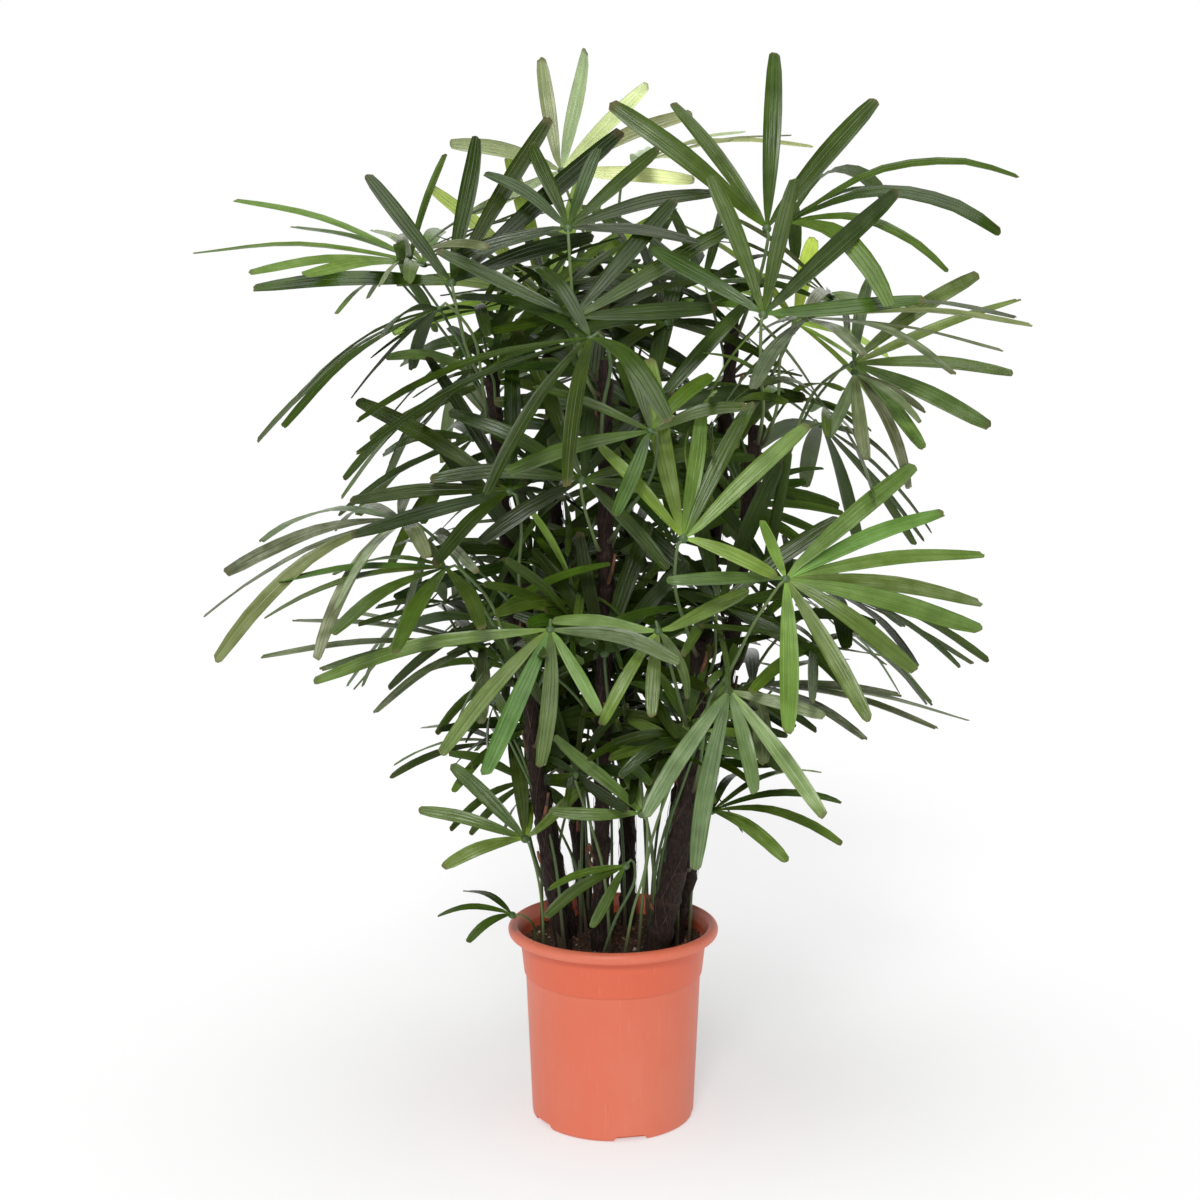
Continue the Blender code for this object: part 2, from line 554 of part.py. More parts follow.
def grow_leaflets(name, fan, droop, space, chance):
    """Rows of each leaflet of a fan, or None for one that finds no room."""
    grown = []
    own = Space()
    for index, (_, full_length) in enumerate(fan.leaflets):
        found = None
        for attempt in range(GROWING_TRIES):
            freedom = attempt / GROWING_TRIES
            swing = chance.gauss(0, LEAFLET_SWING * freedom)
            lift = chance.gauss(0, LEAFLET_LIFT[0] + LEAFLET_LIFT[1] * freedom)
            bend = 1 + chance.gauss(0, LEAFLET_DROOP[0] + LEAFLET_DROOP[1] * freedom)
            length = full_length * (1 - LEAFLET_CUT * freedom)
            rows = leaflet_rows(fan, index, swing, lift, droop * max(0.0, bend), length)
            if not space.is_free(*slab(rows), ignored=(name,)):
                continue
            if own.is_free(*slab(trimmed(rows))):
                found = rows
                break
        grown.append(found)
        if found:
            own.add(*slab(trimmed(found)), name)
            space.add(*slab(found), name)
    return grown


def extrude_to(shape, edge, row):
    """Extrude an open edge of a strip to the next row and return its new edge."""
    geometry = bmesh.ops.extrude_edge_only(shape, edges=[edge])["geom"]
    new = [item for item in geometry if isinstance(item, bmesh.types.BMVert)]
    across = row.side * row.half_width
    if (new[0].co - new[1].co).dot(across) > 0:
        across.negate()
    new[0].co = row.centre - across
    new[1].co = row.centre + across
    return next(item for item in geometry
                if isinstance(item, bmesh.types.BMEdge) and set(item.verts) == set(new))


def add_frond(name, fan, stalk, leaflets, material, collection):
    """One frond: a strip of stalk, a hub plate and its leaflets, thickened to a thin solid."""
    shape = bmesh.new()
    first = stalk[0]
    left = shape.verts.new(first.centre - first.side * first.half_width)
    right = shape.verts.new(first.centre + first.side * first.half_width)
    edge = shape.edges.new((left, right))
    for row in stalk[1:]:
        edge = extrude_to(shape, edge, row)
    stalk_count = len(shape.verts)
    rim = [shape.verts.new(fan.hub + ray(fan, angle) * HUB_RADIUS) for angle in fan.edges]
    ends = sorted(edge.verts, key=lambda vertex: (vertex.co - fan.hub).dot(fan.side))
    shape.faces.new([ends[0]] + rim + [ends[1]])
    for start, finish, rows in zip(rim, rim[1:], leaflets):
        if rows:
            edge = shape.edges.get((start, finish))
            for row in rows[1:]:
                edge = extrude_to(shape, edge, row)
    bmesh.ops.recalc_face_normals(shape, faces=shape.faces)
    mesh = bpy.data.meshes.new(name)
    shape.to_mesh(mesh)
    shape.free()
    solid = add_object(name, mesh, material, collection)
    solid.vertex_groups.new(name="stalk").add(list(range(stalk_count)), 1.0, "REPLACE")
    add_modifier(solid, "SOLIDIFY", thickness=STALK_WIDTH, offset=0.0, vertex_group="stalk",
                 thickness_vertex_group=BLADE_THICKNESS / STALK_WIDTH)
    return solid


def main():
    clear_scene()
    palm = bpy.data.collections.new("lady_palm")
    cutters = bpy.data.collections.new("cutters")
    bpy.context.scene.collection.children.link(palm)
    bpy.context.scene.collection.children.link(cutters)
    terracotta = plain_material("terracotta_plastic", (0.72, 0.19, 0.11), 0.45)
    earth = plain_material("potting_soil", (0.045, 0.020, 0.012), 0.95)
    fibre = plain_material("cane_fibre", (0.060, 0.032, 0.025), 0.90)
    green = plain_material("palm_leaf", (0.050, 0.130, 0.020), 0.45)

    space = Space()
    pot = turned("pot", pot_profile(), terracotta, palm)
    cut_notches(pot, cutters)
    soil = turned("soil", soil_profile(), earth, palm)
    for solid in (pot, soil):
        space.add(*surface_of(solid), solid.name)
    canes = {}
    for place, cane in CANES.items():
        canes[place], corners = surface_of(add_cane(f"cane_{place}", cane, fibre, palm))
        space.add(canes[place], corners, place)

    # Fronds nearest the front grow first: all hubs, then all stalks, then the leaflets
    chance = random.Random(SEED)
    fronds = {f"{place}_{i + 1}": frond for place, rows in FRONDS.items() for i, frond in enumerate(rows)}
    order = sorted(fronds, key=lambda name: fronds[name].hub[1])
    fans = {name: spread_out(fronds[name]) for name in order}
    for name, fan in fans.items():
        plate = [Row(fan.hub + fan.run * reach, fan.side, fan.face,
                     HUB_RADIUS * HUB_PLATE_WIDTH, BLADE_THICKNESS / 2)
                 for reach in (-HUB_RADIUS, HUB_RADIUS * HUB_PLATE_REACH)]
        space.add(*slab(plate), name)
    stalks = {}
    for name, fan in fans.items():
        stalks[name] = grow_stalk(name, fan, canes, space, chance)
        if stalks[name]:
            space.add(*slab(stalks[name][:-1]), f"{name}_stalk")
            space.add(*slab(stalks[name][-2:]), name)
    for name, fan in fans.items():
        if stalks[name]:
            leaflets = grow_leaflets(name, fan, fronds[name].droop, space, chance)
            add_frond(f"frond_{name}", fan, stalks[name], leaflets, green, palm)


main()
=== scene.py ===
"""Lady palm in a terracotta-coloured nursery pot, in metres, +Z up, its front towards -Y."""
import math
import random
from collections import namedtuple

import bmesh
import bpy
import numpy as np
from mathutils import Matrix, Vector, noise
from mathutils.bvhtree import BVHTree


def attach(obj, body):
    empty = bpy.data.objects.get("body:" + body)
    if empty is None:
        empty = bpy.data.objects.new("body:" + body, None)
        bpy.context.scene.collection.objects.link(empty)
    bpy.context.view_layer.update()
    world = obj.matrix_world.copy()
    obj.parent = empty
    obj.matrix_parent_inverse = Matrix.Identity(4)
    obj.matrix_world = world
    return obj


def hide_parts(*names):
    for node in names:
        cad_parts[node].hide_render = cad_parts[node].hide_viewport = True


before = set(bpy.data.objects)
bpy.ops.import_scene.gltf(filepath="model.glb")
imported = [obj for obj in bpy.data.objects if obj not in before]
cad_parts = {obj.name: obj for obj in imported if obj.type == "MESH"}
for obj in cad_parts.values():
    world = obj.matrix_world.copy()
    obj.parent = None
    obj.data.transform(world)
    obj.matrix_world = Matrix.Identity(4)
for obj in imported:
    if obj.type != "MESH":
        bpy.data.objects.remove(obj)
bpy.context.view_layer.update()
scene = bpy.context.scene


# Pot

# The nursery pot is one injection moulding of terracotta-coloured polypropylene: a thin
# tapered wall, a wider collar above a step, a rolled rim, and a solid foot ring whose
# notches let water drain. It is turned from one profile, and the notches are cut through it.

POT_HEIGHT = 0.225
POT_WALL = 0.002
POT_STEPS = 144
BASE_RADIUS = 0.0925
WALL_TOP_RADIUS = 0.0995
STEP_HEIGHT = 0.168
INNER_STEP_RISE = 0.003
COLLAR_FOOT_RADIUS = 0.1015
COLLAR_TOP_RADIUS = 0.1060
RIM_RADIUS = 0.120
RIM_DEPTH = 0.013
RIM_INNER_RADIUS = 0.1075
FOOT_RING_HEIGHT = 0.010
FOOT_RING_WIDTH = 0.018
FLOOR_THICKNESS = 0.003
NOTCH_COUNT = 5
NOTCH_START = -78
NOTCH_WIDTHS = (0.046, 0.030)
NOTCH_HEIGHT = 0.007
NOTCH_DEPTH = 0.013
NOTCH_OVERCUT = 0.003
EDGE = 0.001
TERRACOTTA = (0.70, 0.150, 0.078)
TERRACOTTA_CHALKY = (0.72, 0.200, 0.120)
# A darker, deeper orange painted on the collar as shade under the rim
COLLAR_PAINTED_SHADE = (0.70, 0.116, 0.048)
SCUFF_PINK = (0.80, 0.36, 0.26)


class Wire:
    """A socket of a node tree. Arithmetic on it adds Math nodes, in either order."""

    def __init__(self, maker, socket):
        self.maker = maker
        self.socket = socket

    def maths(self, operation, *values):
        return self.maker.node("ShaderNodeMath", {"operation": operation}, dict(enumerate(values)))

    def __add__(self, other):
        return self.maths("ADD", self, other)

    def __sub__(self, other):
        return self.maths("SUBTRACT", self, other)

    def __rsub__(self, other):
        return self.maths("SUBTRACT", other, self)

    def __mul__(self, other):
        return self.maths("MULTIPLY", self, other)

    def __truediv__(self, other):
        return self.maths("DIVIDE", self, other)

    def __pow__(self, other):
        return self.maths("POWER", self, other)

    __radd__ = __add__
    __rmul__ = __mul__

    def above(self, floor, ceiling):
        """How far the value is from floor to ceiling, from 0 to 1."""
        return self.maker.node("ShaderNodeMapRange", {}, {0: self, 1: floor, 2: ceiling})


class Maker:
    """Builds a shader or geometry tree node by node."""

    def __init__(self, tree):
        self.tree = tree

    def node(self, kind, settings=None, inputs=None, output=0):
        new = self.tree.nodes.new(kind)
        for name, value in (settings or {}).items():
            if name == "stops":
                for i, (place, colour) in enumerate(value):
                    stop = new.color_ramp.elements[i] if i < 2 else new.color_ramp.elements.new(place)
                    stop.position = place
                    stop.color = (*colour, 1.0)
            elif name == "choices":
                for _ in range(value - 2):
                    new.index_switch_items.new()
            else:
                setattr(new, name, value)
        for name, value in (inputs or {}).items():
            self.join(value, new.inputs[name])
        return Wire(self, new.outputs[output])

    def join(self, value, socket):
        if isinstance(value, Wire):
            self.tree.links.new(value.socket, socket)
        else:
            socket.default_value = value

    def place(self):
        """Where a point is on its piece."""
        return self.node("ShaderNodeTexCoord", output="Object")

    def kept(self, label, output="Fac"):
        """What the piece's mesh keeps under a label."""
        return self.node("ShaderNodeAttribute", {"attribute_name": label}, output=output)

    def part(self, vector, axis):
        return self.node("ShaderNodeSeparateXYZ", {}, {0: vector}, output=axis)

    def scaled(self, vector, size):
        return self.node("ShaderNodeVectorMath", {"operation": "SCALE"}, {0: vector, "Scale": size})

    def stretched(self, vector, sizes):
        return self.node("ShaderNodeVectorMath", {"operation": "MULTIPLY"}, {0: vector, 1: sizes})

    def noise(self, place, scale, detail=2.0, roughness=0.5, stretch=(1.0, 1.0, 1.0)):
        """Soft noise from 0 to 1, drawn out along an axis where its stretch is small."""
        return self.node("ShaderNodeTexNoise", {}, {
            "Vector": self.stretched(place, stretch), "Scale": scale, "Detail": detail,
            "Roughness": roughness})

    def mix(self, share, first, second):
        """Mix of two colours."""
        colours = [(*c, 1.0) if isinstance(c, tuple) else c for c in (first, second)]
        return self.node("ShaderNodeMix", {"data_type": "RGBA"},
                         {0: share, 6: colours[0], 7: colours[1]}, output=2)

    def bump(self, height, distance, strength=1.0):
        return self.node("ShaderNodeBump", {}, {
            "Height": height, "Distance": distance, "Strength": strength})


def new_material(name, fixed, paint):
    """A Principled material: fixed values on its sockets, and what paint(maker, place) returns."""
    material = bpy.data.materials.new(name)
    material.use_nodes = True
    shader = material.node_tree.nodes["Principled BSDF"]
    maker = Maker(material.node_tree)
    for socket, value in {**fixed, **paint(maker, maker.place())}.items():
        maker.join(value, shader.inputs[socket])
    return material


def add_piece(name, mesh, materials, sharp=40):
    """An object of a finished mesh at the origin, smooth but for edges over sharp degrees."""
    piece = bpy.data.objects.new(name, mesh)
    scene.collection.objects.link(piece)
    for material in materials:
        mesh.materials.append(material)
    mesh.shade_smooth()
    mesh.set_sharp_from_angle(angle=math.radians(sharp))
    return piece


def solid_mesh(name, shape):
    """A bmesh as a mesh whose faces all point outwards."""
    bmesh.ops.remove_doubles(shape, verts=shape.verts, dist=0.000005)
    bmesh.ops.recalc_face_normals(shape, faces=shape.faces)
    mesh = bpy.data.meshes.new(name)
    shape.to_mesh(mesh)
    shape.free()
    return mesh


def eased(corners, steps=4):
    """A profile of (radius, height, ease) with each corner rounded within its ease."""
    points = []
    for i, (radius, height, ease) in enumerate(corners):
        corner = Vector((radius, height))
        if ease == 0 or i in (0, len(corners) - 1):
            points.append(corner)
            continue
        before = corner + (Vector(corners[i - 1][:2]) - corner).normalized() * ease
        after = corner + (Vector(corners[i + 1][:2]) - corner).normalized() * ease
        for k in range(steps + 1):
            t = k / steps
            points.append(before * (1 - t) ** 2 + corner * 2 * t * (1 - t) + after * t * t)
    return points


def inner_wall(height):
    """Radius of the inner wall below the collar."""
    return BASE_RADIUS + (WALL_TOP_RADIUS - BASE_RADIUS) * height / STEP_HEIGHT - POT_WALL


def turn(profile, steps):
    """Turn a profile that starts and ends on the axis about Z, as a closed bmesh."""
    shape = bmesh.new()
    verts = [shape.verts.new((point.x, 0.0, point.y)) for point in profile]
    edges = [shape.edges.new(pair) for pair in zip(verts, verts[1:])]
    bmesh.ops.spin(shape, geom=verts + edges, cent=(0, 0, 0), axis=(0, 0, 1),
                   angle=math.tau, steps=steps, use_merge=True)
    return shape


ring = inner_wall(FOOT_RING_HEIGHT) - FOOT_RING_WIDTH
rim_foot = POT_HEIGHT - RIM_DEPTH
profile = eased([
    (0.0, FLOOR_THICKNESS, 0),
    (ring - 0.002, FLOOR_THICKNESS, EDGE),
    (ring, FOOT_RING_HEIGHT, EDGE),
    (inner_wall(FOOT_RING_HEIGHT), FOOT_RING_HEIGHT, EDGE),
    (inner_wall(STEP_HEIGHT), STEP_HEIGHT, EDGE),
    (COLLAR_FOOT_RADIUS - POT_WALL, STEP_HEIGHT + INNER_STEP_RISE, EDGE),
    (COLLAR_TOP_RADIUS - POT_WALL, rim_foot, 0.002),
    (RIM_INNER_RADIUS, POT_HEIGHT - 0.0045, 0.003),
    (RIM_INNER_RADIUS + 0.0035, POT_HEIGHT, 0.003),
    (RIM_RADIUS - 0.0045, POT_HEIGHT - 0.0002, 0.003),
    (RIM_RADIUS, POT_HEIGHT - 0.0045, 0.0035),
    (RIM_RADIUS - 0.0012, rim_foot + 0.0015, 0.003),
    (RIM_RADIUS - 0.0060, rim_foot - 0.0006, 0.0022),
    (COLLAR_TOP_RADIUS, rim_foot - 0.002, 0.0025),
    (COLLAR_FOOT_RADIUS, STEP_HEIGHT + 0.0012, EDGE),
    (WALL_TOP_RADIUS, STEP_HEIGHT - EDGE, EDGE),
    (BASE_RADIUS, 0.0, 0.006),
    (0.0, 0.0, 0),
])
pot_blank = add_piece("pot_blank", solid_mesh("pot_blank", turn(profile, POT_STEPS)), [])

shape = bmesh.new()
for i in range(NOTCH_COUNT):
    block = bmesh.ops.create_cube(shape, size=1.0)["verts"]
    for vert in block:
        is_top = vert.co.z > 0
        vert.co = (BASE_RADIUS + 2 * vert.co.x * NOTCH_DEPTH, vert.co.y * NOTCH_WIDTHS[is_top],
                   NOTCH_HEIGHT if is_top else -NOTCH_OVERCUT)
    turned = Matrix.Rotation(math.radians(NOTCH_START + 360 * i / NOTCH_COUNT), 3, "Z")
    bmesh.ops.rotate(shape, matrix=turned, verts=block)
notches = add_piece("notches", solid_mesh("notches", shape), [])
cut = pot_blank.modifiers.new("Notches", "BOOLEAN")
cut.operation = "DIFFERENCE"
cut.solver = "EXACT"
cut.object = notches
pot_mesh = bpy.data.meshes.new_from_object(pot_blank.evaluated_get(bpy.context.evaluated_depsgraph_get()))
bpy.data.objects.remove(pot_blank)
bpy.data.objects.remove(notches)


def paint_pot(maker, place):
    clouds = maker.noise(place, 9.0, 3.0)
    chalk = maker.noise(place, 60.0, 4.0, 0.65, (1.0, 1.0, 0.5))
    scuffs = maker.noise(place, 220.0, 2.0, 0.6, (1.0, 1.0, 0.08)).above(0.62, 0.80)
    grain = maker.noise(place, 1400.0, 1.0)
    tone = maker.mix(clouds.above(0.38, 0.68) * 0.55 + chalk.above(0.45, 0.75) * 0.25,
                     TERRACOTTA, TERRACOTTA_CHALKY)
    height = maker.part(place, "Z")
    # Between the step and the rim, the collar is painted a darker, deeper orange: painted shade from the rim
    # above it
    collar_shade_share = (height.above(STEP_HEIGHT - EDGE, STEP_HEIGHT + EDGE)
                 * (1.0 - height.above(rim_foot - EDGE, rim_foot + 2 * EDGE)))
    tone = maker.mix(collar_shade_share * 0.7, tone, COLLAR_PAINTED_SHADE)
    return {
        "Base Color": maker.mix(scuffs * 0.18, tone, SCUFF_PINK),
        "Roughness": 0.40 + clouds * 0.10 + scuffs * 0.12,
        "Normal": maker.bump(grain * 0.25 + clouds * 2.0 + scuffs * 0.2, 0.00035, 0.6),
    }


terracotta_plastic = new_material("terracotta_plastic", {"IOR": 1.49}, paint_pot)
pot = add_piece("nursery_pot", pot_mesh, [terracotta_plastic], sharp=32)
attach(pot, "root")
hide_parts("pot")


# Soil

# Peaty potting soil fills the pot to a little below the rim. Its top is uneven, and it is
# strewn with crumbs of peat, bark and coir, a few pale grains and larger bark chips.

SOIL_TOP = 0.203
SOIL_SINK = 0.004
SOIL_RELIEF = 0.0032
# Lumps on the soil, from broad to crumbly: how many to a metre, their share, their place in the noise
SOIL_LUMPS = ((22, 1.0, 3.1), (95, 0.45, 7.7), (260, 0.25, 1.3))
SOIL_RINGS = 44
SOIL_SPOKES = 132
CLEARANCE = 0.0004
DARK_EARTH = (0.018, 0.0095, 0.0062)
BROWN_EARTH = (0.095, 0.042, 0.022)
RED_BARK = (0.230, 0.085, 0.038)
# Crumbs from dark peat to bark, coir and pale grains: share of them, colour
CRUMB_COLOURS = ((0.0, (0.016, 0.009, 0.006)), (0.40, (0.075, 0.032, 0.017)),
                 (0.72, (0.200, 0.078, 0.036)), (0.93, (0.300, 0.150, 0.075)), (0.985, (0.52, 0.44, 0.35)))
CRUMB_SPECKLE = (0.020, 0.010, 0.007)
CRUMB_DENSITY = 26000.0
CHIP_DENSITY = 9000.0
FLAT_ENOUGH = 0.6


def soil_height(x, y):
    return SOIL_TOP + SOIL_RELIEF * sum(
        share * noise.noise(Vector((x * count, y * count, place))) for count, share, place in SOIL_LUMPS)


slope = (COLLAR_TOP_RADIUS - COLLAR_FOOT_RADIUS) / (rim_foot - STEP_HEIGHT - INNER_STEP_RISE)
soil_radius = (COLLAR_FOOT_RADIUS - POT_WALL + slope * (SOIL_TOP - STEP_HEIGHT - INNER_STEP_RISE)
               - 2 * CLEARANCE)
shape = bmesh.new()
loops = []
for radius, height in [(soil_radius * k / SOIL_RINGS, None) for k in range(1, SOIL_RINGS + 1)] + [
        (inner_wall(STEP_HEIGHT) - 2 * CLEARANCE, STEP_HEIGHT - CLEARANCE),
        (inner_wall(FOOT_RING_HEIGHT) - 2 * CLEARANCE, FOOT_RING_HEIGHT + CLEARANCE),
        (ring - CLEARANCE, FOOT_RING_HEIGHT + CLEARANCE)]:
    loop = []
    for spoke in range(SOIL_SPOKES):
        angle = math.tau * spoke / SOIL_SPOKES
        x, y = radius * math.cos(angle), radius * math.sin(angle)
        loop.append(shape.verts.new((x, y, soil_height(x, y) if height is None else height)))
    loops.append(loop)
for inner, outer in zip(loops, loops[1:]):
    for k in range(SOIL_SPOKES):
        following = (k + 1) % SOIL_SPOKES
        shape.faces.new((inner[k], outer[k], outer[following], inner[following]))
middle = shape.verts.new((0.0, 0.0, soil_height(0.0, 0.0)))
for k in range(SOIL_SPOKES):
    shape.faces.new((middle, loops[0][k], loops[0][(k + 1) % SOIL_SPOKES]))
shape.faces.new(list(reversed(loops[-1])))


def paint_soil(maker, place):
    broad = maker.noise(place, 45.0, 3.0)
    crumbs = maker.noise(place, 420.0, 4.0, 0.7)
    reddish = maker.noise(place, 160.0, 3.0).above(0.50, 0.72)
    earth = maker.mix(crumbs.above(0.35, 0.70), DARK_EARTH, BROWN_EARTH)
    return {
        "Base Color": maker.mix(reddish * 0.7 * broad.above(0.3, 0.6), earth, RED_BARK),
        "Roughness": 0.85 + crumbs * 0.15,
        "Normal": maker.bump(crumbs + broad * 0.5, 0.0016),
    }


potting_soil = new_material("potting_soil", {}, paint_soil)
soil = add_piece("potting_soil", solid_mesh("potting_soil", shape), [potting_soil], sharp=70)
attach(soil, "root")
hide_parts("soil")


def geometry_tree(name, inputs, build):
    """A geometry tree with named inputs {name: type} and a material, shaped by build(maker, inputs)."""
    tree = bpy.data.node_groups.new(name, "GeometryNodeTree")
    tree.interface.new_socket("Geometry", in_out="INPUT", socket_type="NodeSocketGeometry")
    for label, kind in {**inputs, "Material": "Material"}.items():
        tree.interface.new_socket(label, in_out="INPUT", socket_type=f"NodeSocket{kind}")
    tree.interface.new_socket("Geometry", in_out="OUTPUT", socket_type="NodeSocketGeometry")
    maker = Maker(tree)
    group = tree.nodes.new("NodeGroupInput")
    given = {socket.name: Wire(maker, socket) for socket in group.outputs if socket.name}
    whole = maker.node("GeometryNodeRealizeInstances", {}, {"Geometry": build(maker, given)})
    coated = maker.node("GeometryNodeSetMaterial", {}, {"Geometry": whole, "Material": given["Material"]})
    tree.links.new(coated.socket, tree.nodes.new("NodeGroupOutput").inputs[0])
    return tree


def grow_piece(name, guide_mesh, tree, values, sharp=60):
    """A piece of the plain mesh that a geometry tree makes of a guide mesh."""
    guide = bpy.data.objects.new(f"{name}_guide", guide_mesh)
    scene.collection.objects.link(guide)
    modifier = guide.modifiers.new("Grow", "NODES")
    modifier.node_group = tree
    for socket in tree.interface.items_tree:
        if socket.in_out == "INPUT" and socket.name in values:
            modifier[socket.identifier] = values[socket.name]
    mesh = bpy.data.meshes.new_from_object(guide.evaluated_get(bpy.context.evaluated_depsgraph_get()))
    mesh.name = name
    mesh.materials.clear()
    bpy.data.objects.remove(guide)
    return add_piece(name, mesh, [values["Material"]], sharp)


def keeping(maker, geometry, label, value, domain="POINT"):
    """The geometry with a value kept on it under a label, for its material to read."""
    return maker.node("GeometryNodeStoreNamedAttribute", {"data_type": "FLOAT", "domain": domain},
                      {"Geometry": geometry, "Name": label, "Value": value})


def strew(maker, given):
    """Lumps strewn over a surface, each turned, flattened and sized by chance."""
    upward = maker.part(maker.node("GeometryNodeInputNormal"), "Z")
    on_top = upward.maths("GREATER_THAN", upward, FLAT_ENOUGH)
    points = maker.node("GeometryNodeDistributePointsOnFaces", {}, {
        "Mesh": given["Geometry"], "Selection": on_top, "Density": given["Density"], "Seed": given["Seed"]})
    lump = maker.node("GeometryNodeMeshIcoSphere", {}, {"Radius": 1.0, "Subdivisions": 1})
    turned = maker.node("FunctionNodeRandomValue", {"data_type": "FLOAT_VECTOR"},
                        {"Min": (0.0,) * 3, "Max": (6.3,) * 3, "Seed": given["Seed"] + 1})
    sized = maker.node("FunctionNodeRandomValue", {"data_type": "FLOAT_VECTOR"},
                       {"Min": given["Smallest"], "Max": given["Largest"], "Seed": given["Seed"] + 2})
    strewn = maker.node("GeometryNodeInstanceOnPoints", {}, {
        "Points": points, "Instance": lump, "Rotation": turned, "Scale": sized})
    tint = maker.node("FunctionNodeRandomValue", {"data_type": "FLOAT"}, {"Seed": given["Seed"] + 3},
                      output=1)
    return keeping(maker, strewn, "tint", tint, "INSTANCE")


strew_tree = geometry_tree("strew_lumps", {
    "Density": "Float", "Seed": "Int", "Smallest": "Vector", "Largest": "Vector"}, strew)


def paint_crumbs(maker, place):
    shade = maker.node("ShaderNodeValToRGB", {"stops": CRUMB_COLOURS}, {"Fac": maker.kept("tint")})
    grain = maker.noise(place, 900.0, 3.0)
    return {
        "Base Color": maker.mix(grain.above(0.40, 0.75) * 0.5, shade, CRUMB_SPECKLE),
        "Roughness": 0.78 + grain * 0.2,
        "Normal": maker.bump(grain, 0.0006),
    }


bark_crumbs = new_material("bark_crumbs", {}, paint_crumbs)
for name, density, smallest, largest, seed in (
        ("soil_crumbs", CRUMB_DENSITY, (0.0006,) * 3, (0.0020, 0.0020, 0.0018), 11),
        ("bark_chips", CHIP_DENSITY, (0.0010, 0.0010, 0.0005), (0.0052, 0.0030, 0.0012), 23)):
    crumbs = grow_piece(name, soil.data.copy(), strew_tree, {
        "Density": density, "Seed": seed, "Smallest": smallest, "Largest": largest,
        "Material": bark_crumbs})
    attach(crumbs, "root")


# Canes

# Each cane is a slim, slightly bowed stem wrapped in the matted brown fibre of old leaf
# sheaths, which overlap upwards and fray at their top edges. Loose fibres cross it both ways.

Cane = namedtuple("Cane", "foot top foot_radius top_radius")
CANES = {
    "left": Cane((-0.050, 0.018), (-0.135, 0.005, 0.86), 0.0095, 0.0065),
    "back_left": Cane((-0.030, 0.055), (-0.075, 0.120, 0.90), 0.0090, 0.0065),
    "back": Cane((0.018, 0.060), (0.015, 0.140, 0.96), 0.0090, 0.0065),
    "back_right": Cane((0.050, 0.036), (0.135, 0.060, 0.91), 0.0095, 0.0065),
    "right": Cane((0.068, -0.004), (0.155, -0.020, 0.79), 0.0090, 0.0065),
    "front_right": Cane((0.046, -0.048), (0.092, -0.080, 0.56), 0.0140, 0.0080),
    "front": Cane((-0.016, -0.030), (-0.010, -0.055, 0.86), 0.0085, 0.0065),
    "front_left": Cane((-0.055, -0.030), (-0.095, -0.055, 0.62), 0.0080, 0.0060),
}
CANE_BOW = 0.012
CANE_STEP = 0.005
CANE_SIDES = 16
CANE_TIP = 0.985
CANE_TIP_SLIMNESS = 0.7
SHEATH_PITCH = 0.036
SHEATH_SHIFT = 0.013
SHEATH_FLARE = 0.0026
SHEATH_RAGGEDNESS = 0.40
SKIN_RELIEF = 0.0024
FIBRES_PER_METRE = 90
FIBRE_POINTS = 9
FIBRE_RADIUS = 0.00035
FIBRE_SPAN = (0.035, 0.090)
FIBRE_SLANT = (12, 34)
FIBRE_LOOSENESS = 0.006
FIBRE_CLEARANCE = 0.0007
STUBS_PER_CANE = 7
STUB_POINTS = 6
STUB_SHARES = (0.12, 0.92)
STUB_LENGTH = (0.016, 0.042)
STUB_RADIUS = 0.0026
STUB_LEAN = (0.25, 0.50)
STUB_BOW = 0.002
MAROON = (0.010, 0.006, 0.005)
FIBRE_BROWN = (0.046, 0.026, 0.019)
FRAYED_BROWN = (0.060, 0.035, 0.024)
ALGAE_GREEN = (0.030, 0.034, 0.016)
LOOSE_DARK = (0.026, 0.015, 0.012)
LOOSE_PALE = (0.120, 0.078, 0.055)
STUB_BROWN = (0.060, 0.026, 0.014)
STUB_RED = (0.230, 0.085, 0.038)
STUB_STREAK = (0.030, 0.016, 0.011)


def cane_axis(cane, share):
    """Point of a cane's axis, from 0 at the soil to 1 at its top."""
    foot = Vector((*cane.foot, SOIL_TOP - SOIL_SINK))
    top = Vector(cane.top)
    outward = Vector((top.x - foot.x, top.y - foot.y, 0.0)).normalized()
    return foot.lerp(top, share) + outward * CANE_BOW * math.sin(math.pi * share)


def cane_radius(cane, share):
    return cane.foot_radius + (cane.top_radius - cane.foot_radius) * share


def cane_length(cane):
    return (Vector(cane.top) - Vector((*cane.foot, SOIL_TOP))).length


def line_mesh(name, lines):
    """Open polylines as one mesh. A line is (points, {attribute: value of each point})."""
    mesh = bpy.data.meshes.new(name)
    points = np.concatenate([np.asarray(line[0], float) for line in lines])
    edges, start = [], 0
    for line_points, _ in lines:
        edges += [(start + k, start + k + 1) for k in range(len(line_points) - 1)]
        start += len(line_points)
    mesh.from_pydata(points.tolist(), edges, [])
    for label in lines[0][1]:
        values = np.concatenate([np.asarray(line[1][label], np.float32) for line in lines])
        wide = values.ndim == 2
        kind, slot = ("FLOAT_VECTOR", "vector") if wide else ("FLOAT", "value")
        mesh.attributes.new(label, kind, "POINT").data.foreach_set(slot, values.ravel())
    return mesh


def named(maker, label, kind="FLOAT"):
    return maker.node("GeometryNodeInputNamedAttribute", {"data_type": kind}, {"Name": label})


def sweep(maker, given):
    """Round rods along the lines, as thick as each point's radius."""
    curve = maker.node("GeometryNodeMeshToCurve", {}, {"Mesh": given["Geometry"]})
    ring_curve = maker.node("GeometryNodeCurvePrimitiveCircle", {}, {
        "Resolution": given["Sides"], "Radius": 1.0})
    return maker.node("GeometryNodeCurveToMesh", {}, {
        "Curve": curve, "Profile Curve": ring_curve, "Scale": named(maker, "radius"), "Fill Caps": True})


